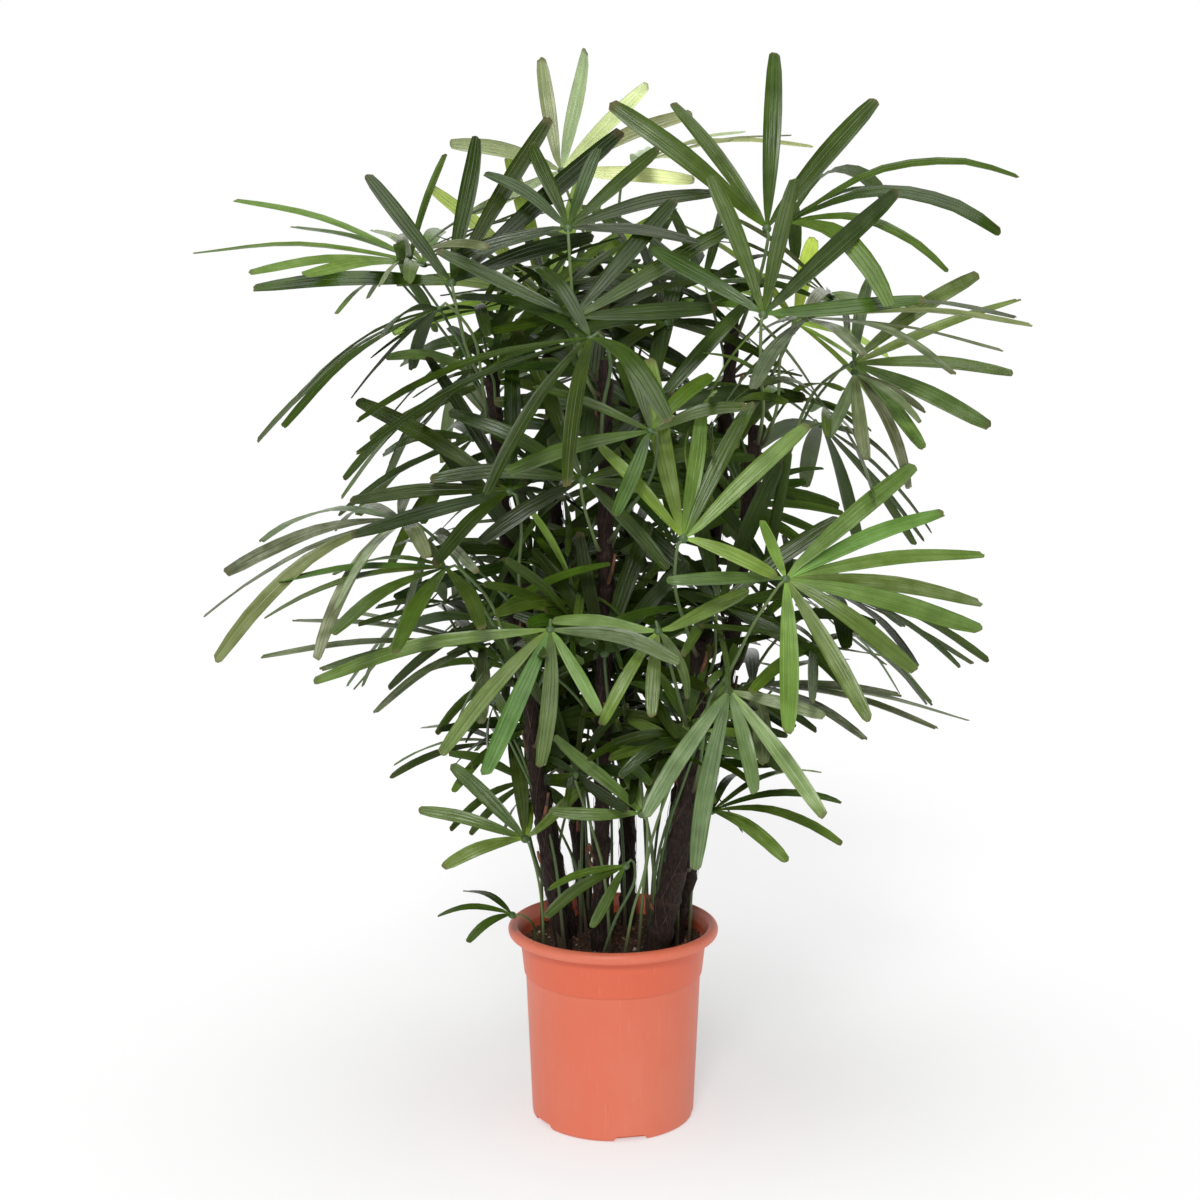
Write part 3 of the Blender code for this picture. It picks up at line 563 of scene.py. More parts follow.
def sheathed(maker, given):
    """Rods whose skin steps out below each ragged sheath top and is rough with fibre."""
    rod = sweep(maker, given)
    place = maker.node("GeometryNodeInputPosition")
    ragged = maker.noise(place, 260.0, stretch=(1.0, 1.0, 0.22))
    fibrous = maker.noise(place, 620.0, stretch=(1.0, 1.0, 0.22))
    rise = named(maker, "rise") / given["Pitch"] + ragged * SHEATH_RAGGEDNESS
    step = rise.maths("FRACT", rise)
    grown_out = (step ** 2.0) * given["Flare"] + (fibrous - 0.5) * SKIN_RELIEF
    return maker.node("GeometryNodeSetPosition", {}, {
        "Geometry": keeping(maker, rod, "sheath", step),
        "Offset": maker.scaled(maker.node("GeometryNodeInputNormal"), grown_out)})


sweep_tree = geometry_tree("sweep_rods", {"Sides": "Int"}, sweep)
sheath_tree = geometry_tree("sheathed_canes", {"Sides": "Int", "Pitch": "Float", "Flare": "Float"}, sheathed)


def paint_cane(maker, place):
    step = maker.kept("sheath")
    streaks = maker.noise(place, 900.0, 3.0, 0.6, (1.0, 1.0, 0.10))
    patches = maker.noise(place, 38.0, 3.0)
    matted = maker.mix(streaks.above(0.42, 0.66), MAROON, FIBRE_BROWN)
    edged = maker.mix(step.above(0.80, 1.0) * 0.5, matted, FRAYED_BROWN)
    return {
        "Base Color": maker.mix(patches.above(0.55, 0.75) * 0.30, edged, ALGAE_GREEN),
        "Roughness": 0.62 + streaks * 0.3,
        "Normal": maker.bump(streaks, 0.0012),
    }


cane_fibre = new_material("cane_fibre", {"Specular IOR Level": 0.2}, paint_cane)
lines = []
for number, cane in enumerate(CANES.values()):
    length = cane_length(cane)
    count = int(length / CANE_STEP)
    shares = [k / (count - 1) for k in range(count)]
    lines.append(([cane_axis(cane, share) for share in shares], {
        "radius": [cane_radius(cane, share) * (1.0 if share < CANE_TIP else CANE_TIP_SLIMNESS)
                   for share in shares],
        "rise": [share * length + number * SHEATH_SHIFT for share in shares]}))
canes = grow_piece("canes", line_mesh("cane_lines", lines), sheath_tree, {
    "Sides": CANE_SIDES, "Pitch": SHEATH_PITCH, "Flare": SHEATH_FLARE, "Material": cane_fibre})
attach(canes, "root")
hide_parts(*(f"cane_{place}" for place in CANES))

chance = random.Random(5)
lines = []
for cane in CANES.values():
    length = cane_length(cane)
    for _ in range(int(length * FIBRES_PER_METRE)):
        span = chance.uniform(*FIBRE_SPAN)
        start = chance.uniform(0.0, max(length - span, 0.01))
        angle = chance.uniform(0.0, math.tau)
        slant = chance.choice((-1, 1)) * chance.uniform(*FIBRE_SLANT)
        loose = chance.uniform(0.0, 1.0) ** 3 * FIBRE_LOOSENESS
        points, radii = [], []
        for k in range(FIBRE_POINTS):
            t = k / (FIBRE_POINTS - 1)
            share = min((start + span * t) / length, 1.0)
            radius = cane_radius(cane, share) + FIBRE_CLEARANCE + SHEATH_FLARE * 0.4 + loose * t ** 4
            spot = angle + slant * span * t
            points.append(cane_axis(cane, share) + Vector((math.cos(spot), math.sin(spot), 0.0)) * radius)
            radii.append(FIBRE_RADIUS * (1.2 - 0.8 * t))
        lines.append((points, {"radius": radii}))


def paint_loose_fibre(maker, place):
    along = maker.noise(place, 120.0, 2.0)
    return {
        "Base Color": maker.mix(along.above(0.35, 0.7), LOOSE_DARK, LOOSE_PALE),
        "Roughness": 0.60 + along * 0.3,
        "Normal": maker.bump(along, 0.0002),
    }


loose_fibre = new_material("loose_fibre", {}, paint_loose_fibre)
fibres = grow_piece("cane_fibres", line_mesh("fibre_lines", lines), sweep_tree, {
    "Sides": 3, "Material": loose_fibre}, sharp=180)
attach(fibres, "root")

chance = random.Random(17)
lines = []
for cane in CANES.values():
    for _ in range(STUBS_PER_CANE):
        share = chance.uniform(*STUB_SHARES)
        angle = chance.uniform(0.0, math.tau)
        outward = Vector((math.cos(angle), math.sin(angle), 0.0))
        size = chance.uniform(*STUB_LENGTH)
        foot = cane_axis(cane, share) + outward * cane_radius(cane, share) * 0.7
        tip = foot + outward * size * chance.uniform(*STUB_LEAN) + Vector((0.0, 0.0, size * 0.9))
        shares = [k / (STUB_POINTS - 1) for k in range(STUB_POINTS)]
        lines.append(([foot.lerp(tip, t) + outward * STUB_BOW * math.sin(math.pi * t) for t in shares],
                      {"radius": [STUB_RADIUS * (1.0 - 0.45 * t) for t in shares]}))


def paint_stub(maker, place):
    streaks = maker.noise(place, 700.0, 2.0, 0.6, (1.0, 1.0, 0.15))
    patches = maker.noise(place, 90.0, 2.0)
    dry = maker.mix(patches.above(0.38, 0.62), STUB_BROWN, STUB_RED)
    return {
        "Base Color": maker.mix(streaks.above(0.45, 0.75) * 0.5, dry, STUB_STREAK),
        "Roughness": 0.60 + streaks * 0.3,
        "Normal": maker.bump(streaks, 0.0004),
    }


dry_stub = new_material("dry_stub", {}, paint_stub)
stubs = grow_piece("stalk_stubs", line_mesh("stub_lines", lines), sweep_tree, {
    "Sides": 7, "Material": dry_stub})
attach(stubs, "root")


# Frond stalks and hubs

# A frond's stalk is a wiry green rod that leaves its cane, or the soil, with a thicker
# brown foot. It ends in a small hub, from which all the frond's leaflets fan out.

# Where the hub of each frond is, and which of the leaf colours the frond has
FRONDS_BY_PLACE = {
    "left": (
        ((-0.174, -0.030, 0.943), "dark"), ((-0.185, -0.080, 0.915), "dark"),
        ((-0.212, 0.060, 0.966), "bright"), ((-0.130, 0.110, 0.880), "middle"),
        ((-0.160, 0.090, 0.770), "middle"), ((-0.090, 0.000, 0.640), "dark")),
    "back_left": (
        ((-0.078, 0.120, 0.925), "backlit"), ((-0.190, 0.220, 0.830), "middle"),
        ((-0.020, 0.240, 0.760), "dark"), ((-0.190, 0.170, 0.600), "middle"),
        ((-0.060, 0.210, 0.540), "dark")),
    "back": (
        ((-0.059, 0.120, 1.072), "pale"), ((0.025, 0.200, 1.085), "pale"),
        ((0.020, 0.280, 0.960), "backlit"), ((0.090, 0.240, 0.690), "middle"),
        ((0.090, 0.190, 0.470), "dark")),
    "back_right": (
        ((0.165, -0.010, 1.001), "middle"), ((0.192, 0.030, 1.010), "middle"),
        ((0.210, 0.110, 0.900), "backlit"), ((0.250, 0.200, 0.780), "middle"),
        ((0.250, 0.150, 0.560), "middle"), ((0.035, -0.010, 0.800), "dark")),
    "right": (
        ((0.153, -0.120, 0.908), "middle"), ((0.205, -0.050, 0.905), "greyish"),
        ((0.270, 0.060, 0.855), "bright"), ((0.262, -0.020, 0.847), "greyish"),
        ((0.245, 0.040, 0.600), "dark"), ((0.155, 0.000, 0.500), "greyish")),
    "front_right": (
        ((0.070, -0.170, 0.682), "green"), ((0.176, -0.160, 0.639), "bright"),
        ((0.115, -0.060, 0.600), "dark"), ((0.118, -0.170, 0.525), "bluish"),
        ((0.107, -0.070, 0.372), "green"), ((0.045, -0.160, 0.585), "bright")),
    "front": (
        ((-0.049, -0.040, 1.000), "dark"), ((-0.025, -0.140, 0.885), "dark"),
        ((0.037, -0.140, 0.790), "middle"), ((-0.041, -0.080, 0.905), "dark"),
        ((-0.034, -0.082, 0.735), "dark"), ((-0.010, -0.080, 0.548), "dark")),
    "front_left": (
        ((-0.230, -0.060, 0.690), "greyish"), ((-0.174, -0.150, 0.650), "middle"),
        ((-0.111, -0.080, 0.723), "dark"), ((-0.149, 0.030, 0.540), "greyish"),
        ((-0.066, -0.180, 0.590), "bright"), ((-0.129, 0.060, 0.420), "green")),
    "shoot": (
        ((-0.097, -0.070, 0.341), "green"), ((-0.112, -0.060, 0.252), "middle"),
        ((0.030, -0.105, 0.378), "green"), ((0.012, -0.110, 0.322), "middle")),
}
Tint = namedtuple("Tint", "hub colour")
FRONDS = {f"{place}_{number}": Tint(*row)
          for place, rows in FRONDS_BY_PLACE.items() for number, row in enumerate(rows, 1)}
HUB_RADIUS = 0.012
BLADE_THICKNESS = 0.002
PAIRING_MISFIT = 0.00004
STALK_POINTS = 18
STALK_SHARES = (0.0, 0.25, 1.0)
STALK_RADII = (0.0030, 0.0021, 0.0017)
STALK_SIDES = 7
# From the slimmest stalk or blade to the widest, as shares of its usual width
WIDTH_SPREAD = (0.88, 1.08)
SHOOT_SLIMNESS = 0.8
SEAT_DEPTH = 0.005
HUB_DROP = 0.0012
HUB_SIZE = (0.0052, 0.0052, 0.0030)
STALK_GREEN = (0.040, 0.090, 0.022)
STALK_YELLOW = (0.150, 0.210, 0.060)
STALK_FOOT_BROWN = (0.050, 0.028, 0.018)

Skeleton = namedtuple("Skeleton", "stalk hub face run leaflets")


def thin_solid(name):
    """Corners and links of a CAD frond, its blade's two skins paired into one sheet.

    Returns the corner points, how they are linked, and which of them belong to the stalk.
    """
    shape = bmesh.new()
    shape.from_mesh(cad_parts[name].data)
    bmesh.ops.remove_doubles(shape, verts=shape.verts, dist=0.00001)
    shape.verts.index_update()
    corners = [vert.co.copy() for vert in shape.verts]
    partner = {}
    for i, corner in enumerate(corners):
        misfit, j = min((abs((other - corner).length - BLADE_THICKNESS), j)
                        for j, other in enumerate(corners))
        if misfit < PAIRING_MISFIT:
            partner[i] = j
    owner, points, of_stalk = {}, [], []
    for i, corner in enumerate(corners):
        j = partner.get(i)
        if j is not None and partner.get(j) == i:
            if j < i:
                continue
            owner[i] = owner[j] = len(points)
            points.append((corner + corners[j]) / 2)
            of_stalk.append(False)
        else:
            owner[i] = len(points)
            points.append(corner)
            of_stalk.append(True)
    links = [set() for _ in points]
    for edge in shape.edges:
        a, b = (owner[vert.index] for vert in edge.verts)
        if a != b:
            links[a].add(b)
            links[b].add(a)
    shape.free()
    return points, links, of_stalk


def read_frond(name, hub):
    """A frond's stalk line, hub and leaflet rows, read back from its CAD solid."""
    points, links, of_stalk = thin_solid(name)
    row = {i for i in range(len(points)) if of_stalk[i] and any(not of_stalk[j] for j in links[i])}
    stalk, done = [], set()
    while row:
        stalk.append(sum((points[i] for i in row), Vector()) / len(row))
        done |= row
        row = {j for i in row for j in links[i] if of_stalk[j]} - done
    arc = [i for i in range(len(points)) if not of_stalk[i]
           and (points[i] - hub).length < HUB_RADIUS * 1.1]
    run = (hub - stalk[0]).normalized()
    spread = np.array([points[i] - hub for i in arc] + [run * HUB_RADIUS])
    face = Vector(np.linalg.svd(spread)[2][2])
    if face.z < 0:
        face.negate()
    side = run.cross(face)
    arc.sort(key=lambda i: math.atan2((points[i] - hub).dot(side), (points[i] - hub).dot(run)))
    leaflets = []
    left_over = {i for i in range(len(points)) if not of_stalk[i]} - set(arc)
    while left_over:
        found, queue = set(), [left_over.pop()]
        while queue:
            i = queue.pop()
            found.add(i)
            queue += [j for j in links[i] if j in left_over]
            left_over -= links[i]
        roots = sorted({arc.index(j) for i in found for j in links[i] if j in arc})
        row = {i for i in found if any(j in arc for j in links[i])}
        pair = [points[arc[roots[0]]], points[arc[roots[-1]]]]
        rows, done = [pair], set()
        while row:
            ordered = sorted(row, key=lambda i: points[i].dot(pair[1] - pair[0]))
            pair = [points[ordered[0]], points[ordered[-1]]]
            rows.append(pair)
            done |= row
            row = {j for i in row for j in links[i] if j in found} - done
        leaflets.append((roots[0], rows))
    leaflets.sort(key=lambda item: item[0])
    return Skeleton(stalk[::-1], hub, face, run, [rows for _, rows in leaflets])


def smooth_line(knots, count):
    """Points at even steps on a smooth curve through some knots."""
    knots = [np.array(knot, float) for knot in knots]
    ends = [knots[0] * 2 - knots[1]] + knots + [knots[-1] * 2 - knots[-2]]
    dense = []
    for a, b, c, d in zip(ends, ends[1:], ends[2:], ends[3:]):
        for k in range(12):
            t = k / 12
            dense.append(0.5 * (2 * b + (c - a) * t + (2 * a - 5 * b + 4 * c - d) * t * t
                                + (3 * b - a - 3 * c + d) * t ** 3))
    dense = np.array(dense + [knots[-1]])
    run = np.concatenate([[0.0], np.cumsum(np.linalg.norm(np.diff(dense, axis=0), axis=1))])
    steps = np.linspace(0.0, run[-1], count)
    return np.stack([np.interp(steps, run, dense[:, axis]) for axis in range(3)], axis=1)


skeletons = {name: read_frond(f"frond_{name}", Vector(tint.hub)) for name, tint in FRONDS.items()}

chance = random.Random(8)
lines, hub_points, hub_faces = [], [], []
for name, frond in skeletons.items():
    seat = frond.stalk[0] - (frond.stalk[1] - frond.stalk[0]).normalized() * SEAT_DEPTH
    hub_points.append(frond.hub - frond.face * HUB_DROP)
    line = smooth_line([seat, *frond.stalk[1:], hub_points[-1]], STALK_POINTS)
    along = np.linspace(0.0, 1.0, STALK_POINTS)
    thick = SHOOT_SLIMNESS if name.startswith("shoot") else 1.0
    lines.append((line, {
        "radius": np.interp(along, STALK_SHARES, STALK_RADII) * thick * chance.uniform(*WIDTH_SPREAD),
        "along": along,
        "tint": np.full(STALK_POINTS, chance.random())}))
    hub_faces.append(frond.face)


def paint_stalk(maker, place):
    along = maker.kept("along")
    tint = maker.kept("tint")
    mottle = maker.noise(place, 160.0, 3.0)
    streaks = maker.noise(place, 700.0, 2.0, 0.5, (1.0, 1.0, 0.12))
    green = maker.mix(tint * 0.7 + mottle * 0.3, STALK_GREEN, STALK_YELLOW)
    brown = (0.22 - along + mottle * 0.10).above(0.0, 0.2)
    return {
        "Base Color": maker.mix(brown * 0.9, green, STALK_FOOT_BROWN),
        "Roughness": 0.38 + streaks * 0.12 + brown * 0.35,
        "Normal": maker.bump(streaks, 0.0003),
    }


green_stalk = new_material("green_stalk", {}, paint_stalk)


def grow_stalks(name, lines):
    return grow_piece(name, line_mesh(f"{name}_lines", lines), sweep_tree, {
        "Sides": STALK_SIDES, "Material": green_stalk})


stalks = grow_stalks("frond_stalks", lines)
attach(stalks, "root")
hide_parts(*(f"frond_{name}" for name in FRONDS))


def knobs(maker, given):
    """A small flattened knob at each point, square to the way its fan faces."""
    points = maker.node("GeometryNodeMeshToPoints", {}, {"Mesh": given["Geometry"]})
    knob = maker.node("GeometryNodeMeshUVSphere", {}, {"Segments": 10, "Rings": 6, "Radius": 1.0})
    turned = maker.node("FunctionNodeAlignRotationToVector", {"axis": "Z"},
                        {"Vector": named(maker, "face", "FLOAT_VECTOR")})
    set_out = maker.node("GeometryNodeInstanceOnPoints", {}, {
        "Points": points, "Instance": knob, "Rotation": turned, "Scale": given["Size"]})
    return keeping(maker, set_out, "along", 1.0, "INSTANCE")


knob_tree = geometry_tree("hub_knobs", {"Size": "Vector"}, knobs)


def grow_hubs(name, points, faces, size):
    mesh = bpy.data.meshes.new(f"{name}_points")
    mesh.from_pydata([tuple(point) for point in points], [], [])
    mesh.attributes.new("face", "FLOAT_VECTOR", "POINT").data.foreach_set("vector", np.ravel(faces))
    return grow_piece(name, mesh, knob_tree, {"Size": size, "Material": green_stalk}, sharp=180)


hubs = grow_hubs("frond_hubs", hub_points, hub_faces, HUB_SIZE)
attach(hubs, "root")


# Leaflets

# A leaflet is a long, parallel-sided blade pleated along its ribs, leathery and glossy
# above, paler below, and cut off blunt and toothed at its tip, as if nibbled.

LEAF_POINTS = 10
# Half width of a blade along its length, as shares of its length and of its widest
LEAF_OUTLINE = ((0.0, 0.16), (0.12, 0.52), (0.28, 0.80), (0.50, 1.0), (0.68, 1.0),
                (0.84, 0.90), (0.94, 0.78), (1.0, 0.60))
# Pleats across a blade: its top from one edge to the other, then its underside
LEAF_SECTION = ((1.0, 0.12), (0.5, -0.04), (0.0, 0.12), (-0.5, -0.04), (-1.0, 0.12),
                (-0.5, -0.12), (0.0, 0.03), (0.5, -0.12))
TOOTH_DEPTH = 0.55
# A leaf's green, and how strong the dusty bloom and painted sheen on it are
LeafColour = namedtuple("LeafColour", "green bloom")
LEAF_COLOURS = {
    "dark": LeafColour((0.024, 0.048, 0.002), 0.02),
    "middle": LeafColour((0.043, 0.084, 0.004), 0.12),
    "green": LeafColour((0.084, 0.148, 0.013), 0.34),
    "bright": LeafColour((0.096, 0.172, 0.022), 0.45),
    # The "backlit" green is painted light: a lighter yellow-green that stands in for light shining through
    # the leaf
    "backlit": LeafColour((0.240, 0.370, 0.045), 0.10),
    "pale": LeafColour((0.380, 0.490, 0.240), 0.10),
    "greyish": LeafColour((0.100, 0.138, 0.044), 1.20),
    "bluish": LeafColour((0.110, 0.175, 0.045), 0.80),
}
# Greyish white of the dust and of the painted sheen on the leaves
DUST_AND_SHEEN_COLOUR = (0.58, 0.61, 0.46)
UNDERSIDE = (0.20, 0.28, 0.10)
LEAF_EDGE = (0.030, 0.045, 0.012)
DRY_TIP = (0.12, 0.10, 0.035)
DUST_AND_SHEEN_SPREAD = (0.4, 1.6)
LEAF_UNEVENNESS = 0.32
LEAF_BRIGHTNESS = (0.55, 1.6)
LEAF_WARMTH = (0.03, 0.08)
LEAF_SLIMNESS = 0.84
LEAF_ROLL = 0.32
LEAF_SWAY = 0.0022
LEAF_ARCH = (0.003, 0.0030)
GROWING_TRIES = 8
BLADE_ROOT = 2


def pleated(maker, given):
    """Pleated blades along the lines, each with a blunt, toothed tip."""
    curve = maker.node("GeometryNodeMeshToCurve", {}, {"Mesh": given["Geometry"]})
    level = maker.node("GeometryNodeSetCurveNormal", {"mode": "FREE"}, {
        "Curve": curve, "Normal": named(maker, "across_way", "FLOAT_VECTOR")})
    loop = maker.node("GeometryNodeCurvePrimitiveCircle", {}, {"Resolution": len(LEAF_SECTION)})
    corner = maker.node("GeometryNodeIndexSwitch", {"data_type": "VECTOR", "choices": len(LEAF_SECTION)}, {
        0: maker.node("GeometryNodeInputIndex"),
        **{i + 1: (x, y, 0.0) for i, (x, y) in enumerate(LEAF_SECTION)}})
    section = maker.node("GeometryNodeSetPosition", {}, {"Geometry": loop, "Position": corner})
    section = keeping(maker, section, "across", maker.part(maker.node("GeometryNodeInputPosition"), "X"))
    blade = maker.node("GeometryNodeCurveToMesh", {}, {
        "Curve": level, "Profile Curve": section, "Scale": named(maker, "half_width"), "Fill Caps": True})
    side = named(maker, "across")
    at_tip = side.maths("GREATER_THAN", named(maker, "along"), 0.999)
    reach = side.maths("ABSOLUTE", side)
    ragged = maker.noise(maker.node("GeometryNodeInputPosition"), 190.0) - 0.5
    tooth = (0.35 - reach * reach) * given["Tooth Depth"] + ragged * 1.6
    offset = maker.scaled(named(maker, "way", "FLOAT_VECTOR"), tooth * named(maker, "half_width") * at_tip)
    blade = maker.node("GeometryNodeSetPosition", {}, {"Geometry": blade, "Offset": offset})
    facing = maker.node("ShaderNodeVectorMath", {"operation": "DOT_PRODUCT"}, {
        0: maker.node("GeometryNodeInputNormal"), 1: named(maker, "top_way", "FLOAT_VECTOR")}, output="Value")
    return keeping(maker, blade, "under", facing.maths("LESS_THAN", facing, 0.0), "FACE")


def paint_leaf(maker, place):
    own = maker.kept("colour", "Color")
    across, along, under, luck, bloom = map(maker.kept, ("across", "along", "under", "luck", "bloom"))
    reach = across.maths("ABSOLUTE", across)
    lengthwise = maker.node("ShaderNodeCombineXYZ", {}, {0: across * 1.5, 1: along * 0.55, 2: luck * 40.0})
    veins = maker.noise(lengthwise, 3.2, 2.0, 0.6)
    fine = maker.noise(lengthwise, 12.0, 1.0)
    mottle = maker.noise(place, 42.0, 2.0)
    half = reach - 0.5
    ribs = (1.0 - reach.above(0.0, 0.07)) + (1.0 - half.maths("ABSOLUTE", half).above(0.0, 0.06))
    shade = 0.74 + veins.above(0.30, 0.70) * 0.26 + mottle.above(0.30, 0.70) * 0.34 + ribs * 0.12
    shade = shade + under * 0.35 + (1.0 - along.above(0.0, 0.14)) * 0.8
    blade = maker.mix(under * 0.05, maker.scaled(own, shade), UNDERSIDE)
    # Dust and painted sheen: greyish-white streaks over the blade, partly dusty bloom and partly a painted
    # highlight of glossy light
    dust_and_sheen_share = bloom * (veins * 0.6 + fine * 0.4).above(0.36, 0.64) * (0.4 + mottle.above(0.35, 0.65))
    blade = maker.mix(dust_and_sheen_share * 0.24, blade, DUST_AND_SHEEN_COLOUR)
    dry = (along + (fine - 0.5) * 0.06 + luck * 0.05).above(1.0, 1.03)
    edged = maker.mix(reach.above(0.90, 1.0) * 0.30, blade, LEAF_EDGE)
    return {
        "Base Color": maker.mix(dry * 0.7, edged, DRY_TIP),
        "Roughness": 0.20 + veins * 0.12 + under * 0.20 + dry * 0.25,
        "Normal": maker.bump(veins + ribs * 0.5, 0.0005),
    }


palm_leaf = new_material("palm_leaf", {"IOR": 1.45, "Specular IOR Level": 0.32}, paint_leaf)
blade_tree = geometry_tree("pleated_blades", {"Tooth Depth": "Float"}, pleated)


def unit(vectors):
    return vectors / np.linalg.norm(vectors, axis=-1, keepdims=True)


def blade_line(rows, hub, colour, chance, freedom=1.0):
    """A leaflet's line from its hub to its tip, with its width, direction and colour.

    Freedom is how far it may turn and sway from the line that its rows give.
    """
    rows = [np.array(pair, float) for pair in rows]
    middles = [pair.mean(axis=0) for pair in rows]
    hub = np.array(hub, float)
    start = hub + (middles[0] - hub) * 0.2
    line = smooth_line([start, *middles], LEAF_POINTS)
    steps = np.concatenate([[0.0], np.cumsum(np.linalg.norm(np.diff(line, axis=0), axis=1))])
    knots = [np.linalg.norm(middle - start) for middle in middles]
    across = unit(np.array([pair[0] - pair[1] for pair in rows]))
    along = steps / steps[-1]
    across = np.stack([np.interp(steps, knots, across[:, axis]) for axis in range(3)], axis=1)
    way = unit(np.gradient(line, axis=0))
    across = unit(across - way * np.sum(across * way, axis=1, keepdims=True))
    top = np.cross(way, across)
    roll = chance.gauss(0.0, LEAF_ROLL) * freedom * along[:, None]
    across = unit(across * np.cos(roll) + top * np.sin(roll))
    top = np.cross(way, across)
    sway = np.sin(np.pi * along)[:, None]
    line = line + (across * chance.gauss(0.0, LEAF_SWAY) + top * chance.gauss(*LEAF_ARCH)) * sway * freedom
    widest = max(np.linalg.norm(pair[0] - pair[1]) for pair in rows[1:]) / 2
    shares, widths = zip(*LEAF_OUTLINE)
    half_width = widest * LEAF_SLIMNESS * np.interp(along, shares, widths) * chance.uniform(*WIDTH_SPREAD)
    opening = np.linalg.norm(rows[0][0] - rows[0][1]) / 2 / HUB_RADIUS
    from_hub = np.linalg.norm(line - hub, axis=1)
    half_width = np.minimum(half_width, 0.0006 + opening * from_hub * 1.25)
    bright = np.clip(1.0 + chance.gauss(0.0, LEAF_UNEVENNESS), *LEAF_BRIGHTNESS)
    warm = chance.gauss(*LEAF_WARMTH)
    tint = np.array(colour.green) * bright * (1.0 + warm, 1.0, 1.0 - warm)
    return line, {
        "across_way": across, "way": way, "top_way": top, "half_width": half_width, "along": along,
        "colour": np.tile(tint, (LEAF_POINTS, 1)), "luck": np.full(LEAF_POINTS, chance.random()),
        "bloom": np.full(LEAF_POINTS, colour.bloom * chance.uniform(*DUST_AND_SHEEN_SPREAD))}


def flat_strip(line, across, half_width):
    """A search tree of the flat strip along a line, and the strip's box."""
    half_width = np.reshape(half_width, (-1, 1))
    corners = np.concatenate([line - across * half_width, line + across * half_width])
    count = len(line)
    faces = [(k, k + 1, k + 1 + count, k + count) for k in range(count - 1)]
    return BVHTree.FromPolygons(corners.tolist(), faces), corners.min(axis=0), corners.max(axis=0)


def blade_strip(line, given):
    """The strip of a blade beyond its root, where it meets its neighbours."""
    return flat_strip(*(part[BLADE_ROOT:] for part in (line, given["across_way"], given["half_width"])))


class Thicket:
    """The blades that are in place, to keep new blades and stalks from growing through them."""

    def __init__(self):
        self.trees, self.lows, self.highs = [], [], []

    def is_free(self, strip):
        if not self.trees:
            return True
        tree, low, high = strip
        near = np.all((np.array(self.lows) < high) & (np.array(self.highs) > low), axis=1)
        return not any(tree.overlap(self.trees[i]) for i in np.flatnonzero(near))

    def add(self, strip):
        for kept, new in zip((self.trees, self.lows, self.highs), strip):
            kept.append(new)


def grow_leaflets(name, lines):
    return grow_piece(name, line_mesh(f"{name}_lines", lines), blade_tree, {
        "Tooth Depth": TOOTH_DEPTH, "Material": palm_leaf})


thicket = Thicket()
for place, fronds_here in FRONDS_BY_PLACE.items():
    names = [f"{place}_{number}" for number in range(1, len(fronds_here) + 1)]
    chance = random.Random(place)
    lines = []
    for name in names:
        for rows in skeletons[name].leaflets:
            for attempt in range(GROWING_TRIES):
                line, given = blade_line(rows, skeletons[name].hub, LEAF_COLOURS[FRONDS[name].colour],
                                         chance, 1.0 - attempt / GROWING_TRIES)
                strip = blade_strip(line, given)
                if thicket.is_free(strip):
                    break
            lines.append((line, given))
            thicket.add(strip)
    leaflets = grow_leaflets(f"leaflets_{place}", lines)
    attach(leaflets, "root")
    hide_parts(*(f"frond_{name}" for name in names))


# Inner fronds

# Shorter and mostly darker fronds crowd the middle of the clump, where little light comes
# in. Some stand on the canes as the outer ones do, and the rest rise from the soil.

INNER_FRONDS = 190
INNER_LEAFLETS = (6, 9)
INNER_LENGTH = (0.115, 0.185)
INNER_WIDTH = 0.0090
INNER_HEIGHTS = (0.44, 0.95)
INNER_REACH = (0.035, 0.120)
INNER_SPREAD = (210, 280)
INNER_DROOP = (0.2, 0.7)
INNER_TILT = (15, 65)
# Where along its cane a stalk may start, how far below its hub, and how far a hub may
# stand above its cane
SEAT_SHARES = (0.2, 0.97)
CROWDED_SEAT = 0.90
STALK_RISE = 0.09
ABOVE_CANE = 0.06
SUCKER_HEIGHTS = (0.34, 0.66)
SUCKER_REACH = (0.015, 0.065)
SUCKER_SHARE = 0.45
SUCKER_SPREAD = 0.016
SUCKER_RING = 0.088
LOW_HEIGHT = 0.50
LOW_SIZE = 0.66
# How far forward a hub may be above each height
FRONTMOST = ((0.80, 0.03), (LOW_HEIGHT, -0.075), (0.0, -0.12))
ROD_POINTS = 12
ROD_HALF_WIDTH = 0.0018
ROD_SLIMNESS = 0.85
LEAST_LEAFLETS = 3
BENDS = 12
INNER_HUB_SIZE = (0.0048, 0.0048, 0.0028)
